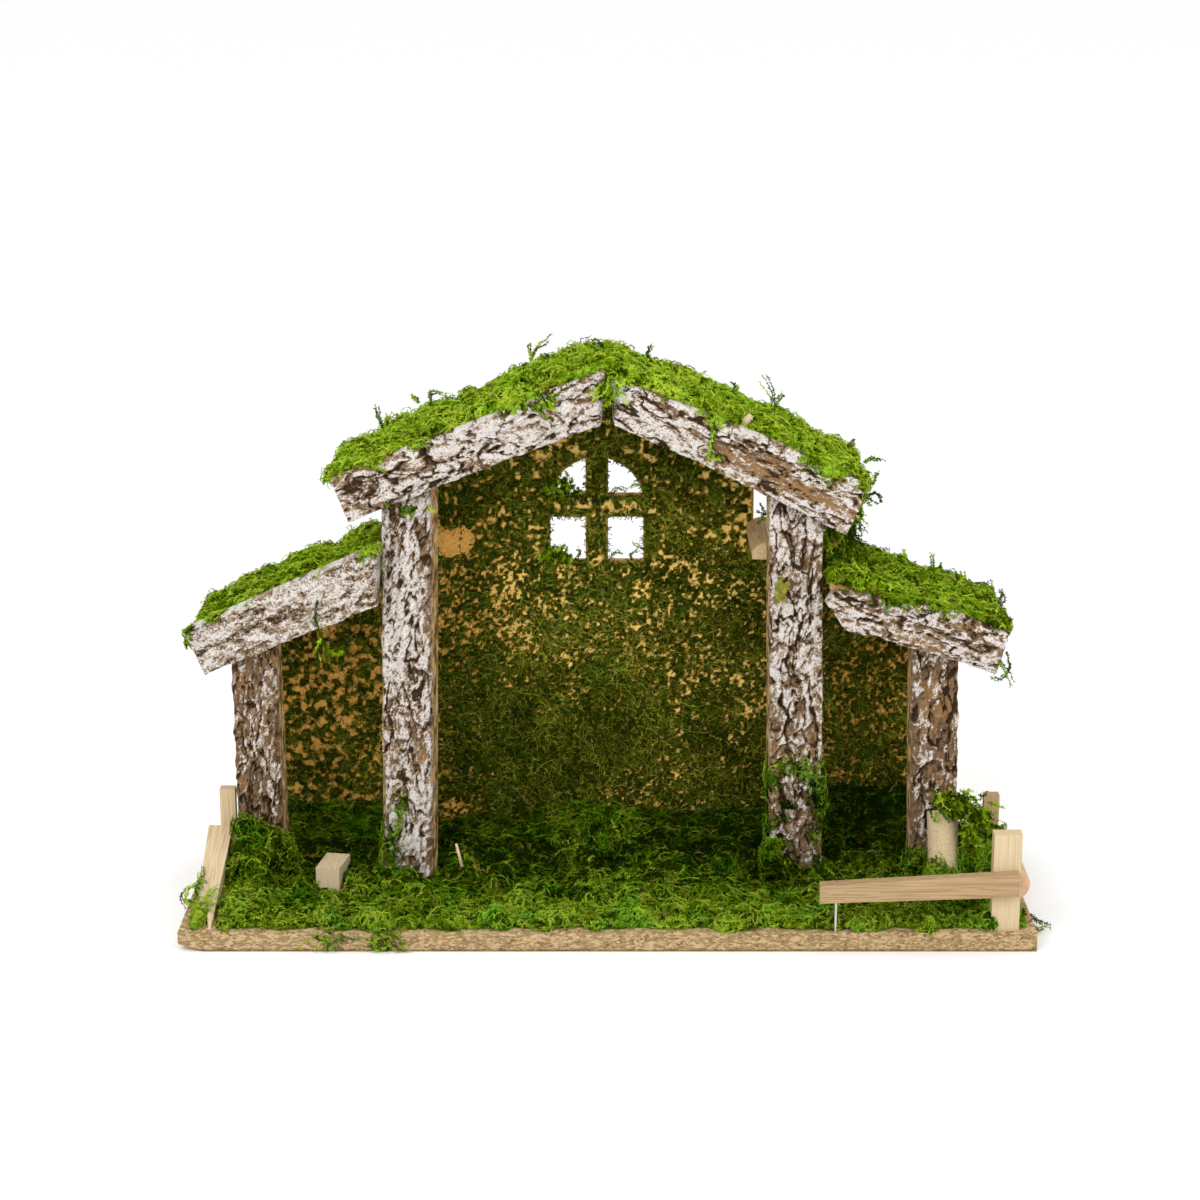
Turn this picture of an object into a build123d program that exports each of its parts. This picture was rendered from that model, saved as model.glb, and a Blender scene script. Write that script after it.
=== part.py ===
from build123d import *
import math
import os

os.makedirs("parts", exist_ok=True)

# Lengths are in millimetres and angles in degrees. The open front faces -Y, the ridge runs along Y
# over the middle of the base, and the origin is the middle of the base board's underside.

# Fits
soft_gap = 0.3  # moss keeps this far from the wood around it
nail_gap = 0.05  # radial play of a nail in its hole
overrun = 5  # cuts run this far past the faces

# Chipboard base
base_width = 430
base_depth = 140
base_thickness = 10
chip_length = 13  # crumbled lower corner at the front left
chip_height = 4
chip_depth = 20

# Hardboard back wall on the base's back edge: a gable between two lower wings
wall_thickness = 4
wall_lift = 1  # the wall's foot stays clear of the table
gable_left_inset = 12  # from the tall post's middle to the gable's edge
gable_right_inset = 21
wing_left_inset = 25  # from the base's end to the wing's edge
wing_right_inset = 37

# Arched window with a cross, in the gable
window_offset = 5.4  # to the left of the ridge line
window_width = 49.5
window_drop = 78.2  # from the ridge to the line where the arch starts
window_rise = 31.3  # from the sill to that line
mullion_width = 12
transom_width = 12.5
transom_drop = 1.3  # from that line to its middle

# Roof boards. Heights and drops are those of a roof's underside at its inner end
roof_board = 4
roof_overhang = 2  # behind the wall
ridge_height = 275.5
main_left_pitch_angle = 21.7
main_right_pitch_angle = 24
main_left_overhang = 32.5  # past the tall post's middle
main_right_overhang = 27.5
left_pitch_angle = 23.4
left_drop = 99  # from the ridge
left_eave_inset = 3.8  # from the base's end
right_pitch_angle = 16
right_drop = 106.9
right_eave_inset = 13.5

# Posts: half-round slabs with their bark on, standing a little askew
post_setback = 70  # from the base's front edge to the bark
post_thickness = 14
tall_post_width = 29
tall_left_share = 0.242  # of the base's width, from the ridge line to the foot
tall_right_share = 0.23
tall_post_skew = 4  # the top stands this far in from the foot
short_post_width = 26
short_left_inset = 34.5  # from the base's end to the foot
short_left_skew = -1.5
short_right_inset = 43.5
short_right_skew = 4

# Fascia rafters of the same bark. A drop is how far one hangs below its roof's underside
rafter_thickness = 9
ridge_gap = 3  # between the plumb cuts at the ridge
main_left_rafter_reach = 0  # past the roof board's lower end
main_left_rafter_width = 26.8
main_left_rafter_drop = 18.5
main_right_rafter_reach = 2.5
main_right_rafter_width = 32.3
main_right_rafter_drop = 22
left_rafter_reach = -1
left_rafter_width = 31
left_rafter_drop = 15.8
right_rafter_reach = 1.9
right_rafter_width = 28
right_rafter_drop = 18.7

# Bark: plates between fissures, on slabs whose sawn sides lean in towards the bark
sawn_slant = 2.6
fissure_depth = 2.2
plate_rise_share = 0.27  # of the width of a plate
post_station_shares = (0, 0.5, 1)  # of a post's height
plate_shares = ((0.31, 0.56, 0.79), (0.2, 0.5, 0.72), (0.36, 0.6, 0.84))

# Split sticks that tie the tall posts to the wall
strut_width = 17
strut_thickness = 9
left_strut_inset = 0.5  # from the tall post's foot
left_strut_drop = 10.5  # below the lean-to's inner end
right_strut_inset = 16
right_strut_rise = 12.4  # above the lean-to's inner end

# Fence of planed pine at the right front corner
stock_width = 14
stock_thickness = 8
lath_thickness = 6  # of the rear posts
right_fence_inset = 9  # from the base's end to the posts' outer sides
front_post_setback = 2.5
front_post_height = 51
right_rear_post_setback = 82
right_rear_post_height = 43.5
rail_thickness = 6
rail_end_inset = 1.5
rail_length = 99
rail_left_lift = 17  # of the rail's lower edge above the base
rail_left_width = 9.6
rail_right_lift = 20.4
rail_right_width = 12
side_rail_length = 36
side_rail_width = 15
side_rail_thickness = 4.5
side_rail_lift = 17.5
pin_diameter = 1.4
pin_setback = 1.7
pin_inset = 8.5  # from the rail's free end
pin_depth = 6  # into the base
pin_grip = 7  # into the rail

# Fallen fence at the left end: a post and a plank that slopes down to the base
left_fence_inset = 11.7
left_rear_post_setback = 82
left_rear_post_height = 47
plank_width = 13
plank_thickness = 6
plank_rise = 27  # of its upper end above the base
plank_foot_setback = 4
plank_offset = 4  # its middle line stands out from the post's
plank_foot_share = 0.66  # of the plank's width
plank_split_shares = (0.2, 0.07)  # depth of the split along the plank, width of each tip

# Loose-looking pieces of wood on the floor
block_width = 12.5
block_depth = 22
block_height = 13.5
block_turn = -10
block_setback = 65
billet_width = 16
billet_thickness = 8
billet_rise = 39  # of the point where it leans on the post
billet_lean = 24
billet_offset = 3  # out from the post's foot

# Nails. Post nails come up through the base, wall nails go into its back edge
nail_diameter = 1.6
nail_head_diameter = 3.6
nail_head_thickness = 0.8
nail_recess = 0.4  # heads lie this deep in the underside
post_nail_reach = 18  # into the post
wall_nail_reach = 12  # into the base
wall_nail_shares = (-0.4, -0.2, 0, 0.2, 0.36)  # of the base's width

# Moss: mats on the roofs and the floor, a skin on the wall, and cushions
roof_moss = 4.5
roof_moss_reach = 3.5  # over the boards' lower ends
mat_shares = (0.75, 0.9, 0.8, 0.85, 0.65, 0.7, 0.5, 0.3)  # of the thickness, where clumps meet
clump_rise_share = 0.08  # of a clump's length
floor_moss = 4
floor_moss_front = 7
floor_moss_side = 4
floor_scallop = 3
floor_clumps = 13
wall_moss = 2
wall_moss_inset = 1.5
left_cushion_radius = 17
left_cushion_height = 30
right_cushion_radius = 16
right_cushion_height = 44
fence_cushion_radius = 10
fence_cushion_height = 32
fence_cushion_setback = 58
mound_radius = 27
mound_height = 9
dome_shares = (0.75, 0.66, 0.2)  # a point of a cushion's side, of its radius and height, and its flat crown

# Places that follow from these, across the base from the ridge line
LEFT = -1
RIGHT = 1
base_end = base_width / 2
tall_left_foot = tall_left_share * base_width
tall_left_top = tall_left_foot - tall_post_skew
tall_right_foot = tall_right_share * base_width
tall_right_top = tall_right_foot - tall_post_skew
short_left_foot = base_end - short_left_inset
short_left_top = short_left_foot - short_left_skew
short_right_foot = base_end - short_right_inset
short_right_top = short_right_foot - short_right_skew
left_bay_inner = tall_left_foot + tall_post_width / 2
left_bay_outer = short_left_foot - short_post_width / 2
right_bay_inner = tall_right_foot + tall_post_width / 2
gable_left = tall_left_foot - gable_left_inset
gable_right = tall_right_foot - gable_right_inset
wing_left = base_end - wing_left_inset
wing_right = base_end - wing_right_inset
left_strut_x = tall_left_foot - left_strut_inset
right_strut_x = tall_right_foot - right_strut_inset
block_x = (left_bay_inner + left_bay_outer) / 2
billet_x = short_right_foot + billet_offset

# Heights
left_height = ridge_height - left_drop
right_height = ridge_height - right_drop
left_strut_height = left_height - left_strut_drop
right_strut_height = right_height + right_strut_rise
window_spring_height = ridge_height - window_drop
window_sill_height = window_spring_height - window_rise
transom_height = window_spring_height - transom_drop

# Lengths down the roofs
main_left_cos = math.cos(math.radians(main_left_pitch_angle))
main_right_cos = math.cos(math.radians(main_right_pitch_angle))
left_cos = math.cos(math.radians(left_pitch_angle))
right_cos = math.cos(math.radians(right_pitch_angle))
main_left_length = (tall_left_foot + main_left_overhang) / main_left_cos
main_right_length = (tall_right_foot + main_right_overhang) / main_right_cos
left_length = (base_end - left_eave_inset - left_bay_inner) / left_cos
right_length = (base_end - right_eave_inset - right_bay_inner) / right_cos

# Places from the front to the back
front_edge = -base_depth / 2
wall_front = base_depth / 2
wall_back = wall_front + wall_thickness
roof_back = wall_back + roof_overhang
post_front = front_edge + post_setback
post_back = post_front + post_thickness
post_middle = (post_front + post_back) / 2
window_x = -window_offset
moss_floor = base_thickness + soft_gap
moss_top = moss_floor + floor_moss


class Slope:
    """A roof's underside, falling to one side from its inner end."""

    def __init__(self, side, pitch, inner_x, inner_z):
        self.side = side
        self.turn = math.radians(pitch)
        self.x = inner_x
        self.z = inner_z

    def point(self, along, up):
        across = along * math.cos(self.turn) + up * math.sin(self.turn)
        return (self.x + self.side * across, self.z - along * math.sin(self.turn) + up * math.cos(self.turn))

    def height(self, x):
        return self.z - self.side * (x - self.x) * math.tan(self.turn)

    def cut(self):
        normal = (self.side * math.sin(self.turn), 0, math.cos(self.turn))
        return Plane(origin=(self.x, 0, self.z), x_dir=(0, 1, 0), z_dir=normal)

    def section(self, along):
        x, z = self.point(along, 0)
        up = (self.side * math.sin(self.turn), 0, math.cos(self.turn))
        down = (math.cos(self.turn), 0, -self.side * math.sin(self.turn))
        return Plane(origin=(x, post_front, z), x_dir=up, z_dir=down)


main_left = Slope(LEFT, main_left_pitch_angle, 0, ridge_height)
main_right = Slope(RIGHT, main_right_pitch_angle, 0, ridge_height)
left_roof = Slope(LEFT, left_pitch_angle, -left_bay_inner, left_height)
right_roof = Slope(RIGHT, right_pitch_angle, right_bay_inner, right_height)


def save(builder, name):
    builder.part.label = name
    export_step(builder.part, f"parts/{name}.step")


def upright(y):
    # A plane that faces the front: its sketches are in X and Z
    return Plane(origin=(0, y, 0), x_dir=(1, 0, 0), z_dir=(0, -1, 0))


def plumb(x, side):
    # A plane across the object that faces one side
    return Plane(origin=(x, 0, 0), x_dir=(0, 1, 0), z_dir=(side, 0, 0))


def underside():
    # The table's side of the base, in X and -Y
    return Plane(origin=(0, 0, 0), x_dir=(1, 0, 0), z_dir=(0, 0, -1))


def rear(y):
    # A plane that faces the back, in -X and Z
    return Plane(origin=(0, y, 0), x_dir=(-1, 0, 0), z_dir=(0, 1, 0))


def bark_section(plane, low, high, thickness, shares):
    # A flat sawn back from low to high, leaning sides, and plates of bark between fissures
    slant = min(sawn_slant, (high - low) / 4)
    front_low = low + slant
    front_width = high - low - 2 * slant
    fissure = thickness - fissure_depth
    edges = [front_low + share * front_width for share in (0, *shares, 1)]
    with BuildSketch(plane) as outline:
        with BuildLine():
            Polyline((edges[-1], fissure), (high, 0), (low, 0), (edges[0], fissure))
            for start, end in zip(edges, edges[1:]):
                crest = fissure + plate_rise_share * (end - start)
                ThreePointArc((start, fissure), ((start + end) / 2, crest), (end, fissure))
        make_face()
    return outline.sketch


def stand_post(foot_x, top_x, width, slope):
    # A slab from the base to above the roof, trimmed to the roof's underside
    top = max(slope.height(top_x - width), slope.height(top_x + width)) + overrun
    sections = []
    for share, shares in zip(post_station_shares, plate_shares):
        x = foot_x + share * (top_x - foot_x)
        z = base_thickness + share * (top - base_thickness)
        across = Plane(origin=(x, post_back, z), x_dir=(1, 0, 0), z_dir=(0, 0, -1))
        sections.append(bark_section(across, -width / 2, width / 2, post_thickness, shares))
    loft(sections, ruled=True)
    split(bisect_by=slope.cut(), keep=Keep.BOTTOM)
    nail_hole = base_thickness + post_nail_reach + nail_gap
    with Locations((foot_x, post_middle, nail_hole)):
        Hole(nail_diameter / 2 + nail_gap, depth=post_nail_reach + nail_gap + overrun)


def hang_rafter(slope, length, width, drop, station_shares):
    # Stations give the place along the rafter and its lower and upper edges
    sections = []
    for index, (along, low, high) in enumerate(station_shares):
        shares = plate_shares[index % len(plate_shares)]
        across = slope.section(along * length)
        limits = (low * width - drop, high * width - drop)
        sections.append(bark_section(across, *limits, rafter_thickness, shares))
    loft(sections, ruled=True)


# Chipboard base, with holes for the nails and the wire pin
pin_x = base_end - right_fence_inset - rail_end_inset - rail_length + pin_inset
pin_y = front_edge + pin_setback
post_feet = (-tall_left_foot, tall_right_foot, -short_left_foot, short_right_foot)
foot_widths = (tall_post_width, tall_post_width, short_post_width, short_post_width)
with BuildPart() as base_board:
    with BuildSketch(upright(wall_front)):
        with BuildLine():
            Polyline(
                (-base_end, base_thickness),
                (base_end, base_thickness),
                (base_end, 0),
                (-base_end, 0),
                close=True,
            )
        make_face()
    extrude(amount=base_depth)
    with BuildSketch(upright(front_edge - overrun)):
        with BuildLine():
            Polyline(
                (-base_end, 0),
                (chip_length - base_end, 0),
                (-base_end, chip_height),
                close=True,
            )
        make_face()
    extrude(amount=-chip_depth - overrun, mode=Mode.SUBTRACT)
    with Locations(underside()):
        with Locations(*[(x, -post_middle) for x in post_feet]):
            CounterBoreHole(
                nail_diameter / 2 + nail_gap,
                nail_head_diameter / 2 + nail_gap,
                nail_recess + nail_head_thickness,
            )
    with Locations((pin_x, pin_y, base_thickness)):
        Hole(pin_diameter / 2 + nail_gap, depth=pin_depth)
    with Locations(rear(wall_front)):
        with Locations(*[(-share * base_width, base_thickness / 2) for share in wall_nail_shares]):
            Hole(nail_diameter / 2 + nail_gap, depth=wall_nail_reach + nail_gap)
save(base_board, "base_board")


def window_panes(margin):
    # Four panes under a round arch, each smaller all round by the margin
    arch = window_width / 2 - margin
    sill = window_sill_height + margin
    with Locations((window_x, (sill + window_spring_height) / 2)):
        Rectangle(2 * arch, window_spring_height - sill)
    with Locations((window_x, window_spring_height)):
        Circle(arch)
    with Locations((window_x, transom_height)):
        Rectangle(window_width, transom_width + 2 * margin, mode=Mode.SUBTRACT)
    with Locations((window_x, window_spring_height)):
        Rectangle(mullion_width + 2 * margin, 2 * window_width, mode=Mode.SUBTRACT)


def wall_outline(inset, foot):
    # The gable reaches the main roof, and each wing its lean-to
    left_edge = inset - gable_left
    right_edge = gable_right - inset
    left_end = inset - wing_left
    right_end = wing_right - inset
    Polyline(
        (left_end, foot),
        (right_end, foot),
        (right_end, right_roof.height(right_end) - inset),
        (right_edge, right_roof.height(right_edge) - inset),
        (right_edge, main_right.height(right_edge) - inset),
        (0, ridge_height - inset),
        (left_edge, main_left.height(left_edge) - inset),
        (left_edge, left_roof.height(left_edge) - inset),
        (left_end, left_roof.height(left_end) - inset),
        close=True,
    )


# Back wall
with BuildPart() as back_wall:
    with BuildSketch(upright(wall_back)):
        with BuildLine():
            wall_outline(0, wall_lift)
        make_face()
    extrude(amount=wall_thickness)
    with BuildSketch(upright(wall_back + overrun)):
        window_panes(0)
    extrude(amount=wall_thickness + 2 * overrun, mode=Mode.SUBTRACT)
    with Locations(rear(wall_back)):
        with Locations(*[(-share * base_width, base_thickness / 2) for share in wall_nail_shares]):
            Hole(nail_diameter / 2 + nail_gap, depth=wall_thickness)
save(back_wall, "back_wall")


# Main roof boards, which meet in a plumb joint at the ridge, and the two lean-to boards
roofs = (
    ("main_roof_left", main_left, main_left_length),
    ("main_roof_right", main_right, main_right_length),
    ("side_roof_left", left_roof, left_length),
    ("side_roof_right", right_roof, right_length),
)
for name, slope, length in roofs:
    plumb_top = roof_board / math.cos(slope.turn)
    with BuildPart() as board:
        with BuildSketch(upright(roof_back)):
            with BuildLine():
                Polyline(
                    (slope.x, slope.z),
                    slope.point(length, 0),
                    slope.point(length, roof_board),
                    (slope.x, slope.z + plumb_top),
                    close=True,
                )
            make_face()
        extrude(amount=roof_back - post_front)
    save(board, name)


# Posts
posts = (
    ("tall_post_left", -tall_left_foot, -tall_left_top, tall_post_width, main_left),
    ("tall_post_right", tall_right_foot, tall_right_top, tall_post_width, main_right),
    ("short_post_left", -short_left_foot, -short_left_top, short_post_width, left_roof),
    ("short_post_right", short_right_foot, short_right_top, short_post_width, right_roof),
)
for name, foot_x, top_x, width, slope in posts:
    with BuildPart() as post:
        stand_post(foot_x, top_x, width, slope)
    save(post, name)


# Fascia rafters. The first three are cut plumb at the inner end, the last one is broken to a point
main_left_rafter_shares = ((-0.08, 0, 1), (0.45, 0.03, 0.97), (1, 0.02, 1))
main_right_rafter_shares = ((-0.08, 0.15, 0.81), (0.5, 0.11, 0.92), (1, 0.01, 0.95))
left_rafter_shares = ((-0.2, 0, 1), (0.4, 0.05, 0.97), (1, 0.08, 0.94))
right_rafter_shares = ((-0.035, 0.5, 0.68), (0.14, 0.05, 0.78), (0.55, 0.06, 1), (1, 0, 0.8))
rafters = (
    (
        "main_rafter_left",
        main_left,
        (main_left_length + main_left_rafter_reach, main_left_rafter_width, main_left_rafter_drop),
        main_left_rafter_shares,
        -ridge_gap / 2,
    ),
    (
        "main_rafter_right",
        main_right,
        (main_right_length + main_right_rafter_reach, main_right_rafter_width, main_right_rafter_drop),
        main_right_rafter_shares,
        ridge_gap / 2,
    ),
    (
        "side_rafter_left",
        left_roof,
        (left_length + left_rafter_reach, left_rafter_width, left_rafter_drop),
        left_rafter_shares,
        -tall_left_top - tall_post_width / 2,
    ),
    (
        "side_rafter_right",
        right_roof,
        (right_length + right_rafter_reach, right_rafter_width, right_rafter_drop),
        right_rafter_shares,
        tall_right_top,
    ),
)
for name, slope, sizes, station_shares, inner_x in rafters:
    with BuildPart() as rafter:
        hang_rafter(slope, *sizes, station_shares)
        split(bisect_by=plumb(inner_x, slope.side), keep=Keep.TOP)
    save(rafter, name)


# Split sticks between the tall posts and the wall, round side up
def strut_outline(x, height, margin):
    with BuildLine() as outline:
        half = strut_width / 2 + margin
        side = height + strut_thickness / 2
        Polyline((x - half, side), (x - half, height - margin), (x + half, height - margin), (x + half, side))
        ThreePointArc((x + half, side), (x, height + strut_thickness + margin), (x - half, side))
    make_face(outline.edges())


struts = (
    ("eave_strut_left", -left_strut_x, left_strut_height),
    ("eave_strut_right", right_strut_x, right_strut_height),
)
for name, x, height in struts:
    with BuildPart() as strut:
        with BuildSketch(upright(wall_front)):
            strut_outline(x, height, 0)
        extrude(amount=wall_front - post_back)
    save(strut, name)


# Upright pieces of the fences, with their ends sawn square
def fence_post(low_x, high_x, front_y, back_y, height):
    with BuildSketch(Plane.XY.offset(base_thickness)) as outline:
        with BuildLine():
            Polyline((low_x, front_y), (high_x, front_y), (high_x, back_y), (low_x, back_y), close=True)
        make_face()
    extrude(outline.sketch, amount=height)


right_outer = base_end - right_fence_inset
left_outer = left_fence_inset - base_end
front_post_face = front_edge + front_post_setback
right_rear_face = front_edge + right_rear_post_setback
left_rear_face = front_edge + left_rear_post_setback
fence_posts = (
    (
        "right_fence_front_post",
        (right_outer - stock_width, right_outer),
        (front_post_face, front_post_face + stock_thickness),
        front_post_height,
    ),
    (
        "right_fence_rear_post",
        (right_outer - stock_thickness, right_outer),
        (right_rear_face, right_rear_face + lath_thickness),
        right_rear_post_height,
    ),
    (
        "left_fence_post",
        (left_outer, left_outer + stock_thickness),
        (left_rear_face, left_rear_face + lath_thickness),
        left_rear_post_height,
    ),
)
for name, across, deep, height in fence_posts:
    with BuildPart() as fence_upright:
        fence_post(*across, *deep, height)
    save(fence_upright, name)


# Front rail, higher at the post than at its free end, with a hole for the pin
rail_right = right_outer - rail_end_inset
rail_left = rail_right - rail_length
rail_slope = (rail_right_lift - rail_left_lift) / rail_length
pin_foot = base_thickness + rail_left_lift + pin_inset * rail_slope
with BuildPart() as right_fence_front_rail:
    with BuildSketch(upright(front_post_face)):
        with BuildLine():
            Polyline(
                (rail_left, base_thickness + rail_left_lift),
                (rail_right, base_thickness + rail_right_lift),
                (rail_right, base_thickness + rail_right_lift + rail_right_width),
                (rail_left, base_thickness + rail_left_lift + rail_left_width),
                close=True,
            )
        make_face()
    extrude(amount=rail_thickness)
    with Locations((pin_x, pin_y, pin_foot + pin_grip)):
        Hole(pin_diameter / 2 + nail_gap, depth=pin_grip + overrun)
save(right_fence_front_rail, "right_fence_front_rail")


# Half-round side rail, a short offcut on the outer side of the right front post
with BuildPart() as right_fence_side_rail:
    with BuildSketch(upright(front_post_face + side_rail_length)):
        with BuildLine():
            low = base_thickness + side_rail_lift
            high = low + side_rail_width
            bulge = (right_outer + side_rail_thickness, (low + high) / 2)
            ThreePointArc((right_outer, low), bulge, (right_outer, high))
            Line((right_outer, high), (right_outer, low))
        make_face()
    extrude(amount=side_rail_length)
save(right_fence_side_rail, "right_fence_side_rail")


# Wire pin that holds the rail's free end over the base
with BuildPart() as rail_pin:
    with BuildSketch(Plane.XY.offset(base_thickness - pin_depth)):
        with Locations((pin_x, pin_y)):
            Circle(pin_diameter / 2)
    extrude(amount=pin_foot + pin_grip - base_thickness + pin_depth)
save(rail_pin, "rail_pin")


# Sloping plank with a split foot. Its sketch lies in its upper face, with Y down the slope
plank_x = left_outer + stock_thickness / 2 - plank_offset
plank_run = left_rear_face - front_edge - plank_foot_setback
plank_length = math.hypot(plank_run, plank_rise)
plank_face = Plane(
    origin=(plank_x, left_rear_face, base_thickness + plank_rise),
    x_dir=(-1, 0, 0),
    z_dir=(0, -plank_rise, plank_run),
)
with BuildPart() as left_fence_plank:
    half = plank_width / 2
    foot_half = plank_foot_share * half
    split_depth, tip_share = plank_split_shares
    tip = tip_share * plank_width
    with BuildSketch(plank_face):
        with BuildLine():
            Polyline(
                (-half, -overrun),
                (half, -overrun),
                (foot_half, plank_length),
                (foot_half - tip, plank_length),
                (0, plank_length * (1 - split_depth)),
                (tip - foot_half, plank_length),
                (-foot_half, plank_length),
                close=True,
            )
        make_face()
    extrude(amount=-plank_thickness)
    split(bisect_by=Plane.XY.offset(base_thickness), keep=Keep.TOP)
    split(bisect_by=upright(left_rear_face), keep=Keep.TOP)
save(left_fence_plank, "left_fence_plank")


# Offcut that lies on the floor
block_plane = Plane(
    origin=(-block_x, front_edge + block_setback, base_thickness),
    x_dir=(math.cos(math.radians(block_turn)), math.sin(math.radians(block_turn)), 0),
    z_dir=(0, 0, 1),
)
with BuildPart() as floor_block:
    with BuildSketch(block_plane):
        Rectangle(block_width, block_depth)
    extrude(amount=block_height)
save(floor_block, "floor_block")


# Half-round billet that leans on the right short post
lean = math.radians(billet_lean)
billet_length = billet_rise / math.cos(lean)
billet_end = Plane(
    origin=(billet_x, post_front, base_thickness + billet_rise),
    x_dir=(1, 0, 0),
    z_dir=(0, math.sin(lean), math.cos(lean)),
)
with BuildPart() as leaning_billet:
    with BuildSketch(billet_end):
        with BuildLine():
            half = billet_width / 2
            ThreePointArc((-half, 0), (0, -billet_thickness), (half, 0))
            Line((half, 0), (-half, 0))
        make_face()
    extrude(amount=-billet_length - billet_width)
    split(bisect_by=Plane.XY.offset(base_thickness), keep=Keep.TOP)
save(leaning_billet, "leaning_billet")


# Nails, each a shank under a flat head
def nail(plane, length):
    with BuildSketch(plane) as head:
        Circle(nail_head_diameter / 2)
    extrude(head.sketch, amount=nail_head_thickness)
    with BuildSketch(plane.offset(nail_head_thickness)) as shank:
        Circle(nail_diameter / 2)
    extrude(shank.sketch, amount=length)


with BuildPart() as post_nails:
    for x in post_feet:
        under = Plane(origin=(x, post_middle, nail_recess), x_dir=(1, 0, 0), z_dir=(0, 0, 1))
        nail(under, base_thickness - nail_recess - nail_head_thickness + post_nail_reach)
save(post_nails, "post_nails")

with BuildPart() as wall_nails:
    for share in wall_nail_shares:
        behind = Plane(
            origin=(share * base_width, wall_back + nail_head_thickness, base_thickness / 2),
            x_dir=(1, 0, 0),
            z_dir=(0, -1, 0),
        )
        nail(behind, wall_thickness + wall_nail_reach)
save(wall_nails, "wall_nails")


# Moss mats on the roofs: clumps in a row down the slope, over the board and past its lower end
mats = (
    ("main_roof_moss_left", main_left, main_left_length, 0),
    ("main_roof_moss_right", main_right, main_right_length, 0),
    ("side_roof_moss_left", left_roof, left_length, left_roof.x),
    ("side_roof_moss_right", right_roof, right_length, right_roof.x),
)
for name, slope, length, inner_x in mats:
    under = roof_board + soft_gap
    end = length + roof_moss_reach
    step = (end + roof_moss) / (len(mat_shares) - 1)
    knots = [
        (index * step - roof_moss, under + share * roof_moss)
        for index, share in enumerate(mat_shares)
    ]
    with BuildPart() as mat:
        with BuildSketch(upright(roof_back)):
            with BuildLine():
                corners = [knots[0], (-roof_moss, under), (end, under), knots[-1]]
                Polyline(*[slope.point(*corner) for corner in corners])
                for start, finish in zip(knots, knots[1:]):
                    middle = (start[0] + finish[0]) / 2
                    crest = (start[1] + finish[1]) / 2 + clump_rise_share * step
                    ThreePointArc(slope.point(*start), slope.point(middle, crest), slope.point(*finish))
            make_face()
        extrude(amount=roof_back - post_front - soft_gap)
        split(bisect_by=plumb(inner_x + slope.side * soft_gap, slope.side), keep=Keep.TOP)
    save(mat, name)


# Moss mat on the floor, scalloped along the front, with room for all that stands on the base
plank_strip = plank_width + 2 * soft_gap
with BuildPart() as floor_moss_mat:
    with BuildSketch(Plane.XY.offset(moss_floor)):
        low_x = floor_moss_side - base_end
        high_x = base_end - floor_moss_side
        low_y = front_edge + floor_moss_front
        high_y = wall_front - soft_gap
        step = (high_x - low_x) / floor_clumps
        with BuildLine():
            Polyline((high_x, low_y), (high_x, high_y), (low_x, high_y), (low_x, low_y))
            for index in range(floor_clumps):
                start = low_x + index * step
                crest = (start + step / 2, low_y - floor_scallop)
                ThreePointArc((start, low_y), crest, (start + step, low_y))
        make_face()
        for x, width in zip(post_feet, foot_widths):
            with Locations((x, post_middle)):
                Rectangle(width + 4 * soft_gap, post_thickness + 2 * soft_gap, mode=Mode.SUBTRACT)
        for name, across, deep, height in fence_posts:
            with Locations((sum(across) / 2, sum(deep) / 2)):
                Rectangle(
                    across[1] - across[0] + 2 * soft_gap,
                    deep[1] - deep[0] + 2 * soft_gap,
                    mode=Mode.SUBTRACT,
                )
        with Locations((plank_x, (front_edge + left_rear_face) / 2)):
            Rectangle(plank_strip, left_rear_face - front_edge, mode=Mode.SUBTRACT)
        with Locations(Location((-block_x, front_edge + block_setback), block_turn)):
            Rectangle(block_width + 2 * soft_gap, block_depth + 2 * soft_gap, mode=Mode.SUBTRACT)
        billet_foot = billet_rise * math.tan(lean) + billet_thickness / math.cos(lean)
        billet_head = (billet_rise - moss_top + base_thickness) * math.tan(lean)
        with Locations((billet_x, post_front - (billet_foot + billet_head) / 2 - soft_gap)):
            Rectangle(
                billet_width + 2 * soft_gap,
                billet_foot - billet_head + 6 * soft_gap,
                mode=Mode.SUBTRACT,
            )
    extrude(amount=floor_moss)
save(floor_moss_mat, "floor_moss")


# Skin of moss on the wall's front, above the floor moss and round the struts
with BuildPart() as wall_moss_skin:
    with BuildSketch(upright(wall_front - soft_gap)):
        with BuildLine():
            wall_outline(wall_moss_inset, moss_top + soft_gap)
        make_face()
    extrude(amount=wall_moss)
    with BuildSketch(upright(wall_front + overrun)):
        window_panes(-wall_moss_inset)
        for name, x, height in struts:
            strut_outline(x, height, soft_gap)
    extrude(amount=wall_moss + 2 * overrun, mode=Mode.SUBTRACT)
save(wall_moss_skin, "wall_moss")


# Cushions of moss: domes on the floor moss that stop short of the post or the wall behind them
def cushion(x, y, radius, height):
    floor = moss_top + soft_gap
    with BuildSketch(Plane(origin=(x, y, floor), x_dir=(1, 0, 0), z_dir=(0, -1, 0))) as profile:
        with BuildLine():
            across, up, crown = dome_shares
            Polyline((crown * radius, height), (0, height), (0, 0), (radius, 0))
            ThreePointArc((radius, 0), (across * radius, up * height), (crown * radius, height))
        make_face()
    revolve(profile.sketch, axis=Axis((x, y, 0), (0, 0, 1)))


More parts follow.
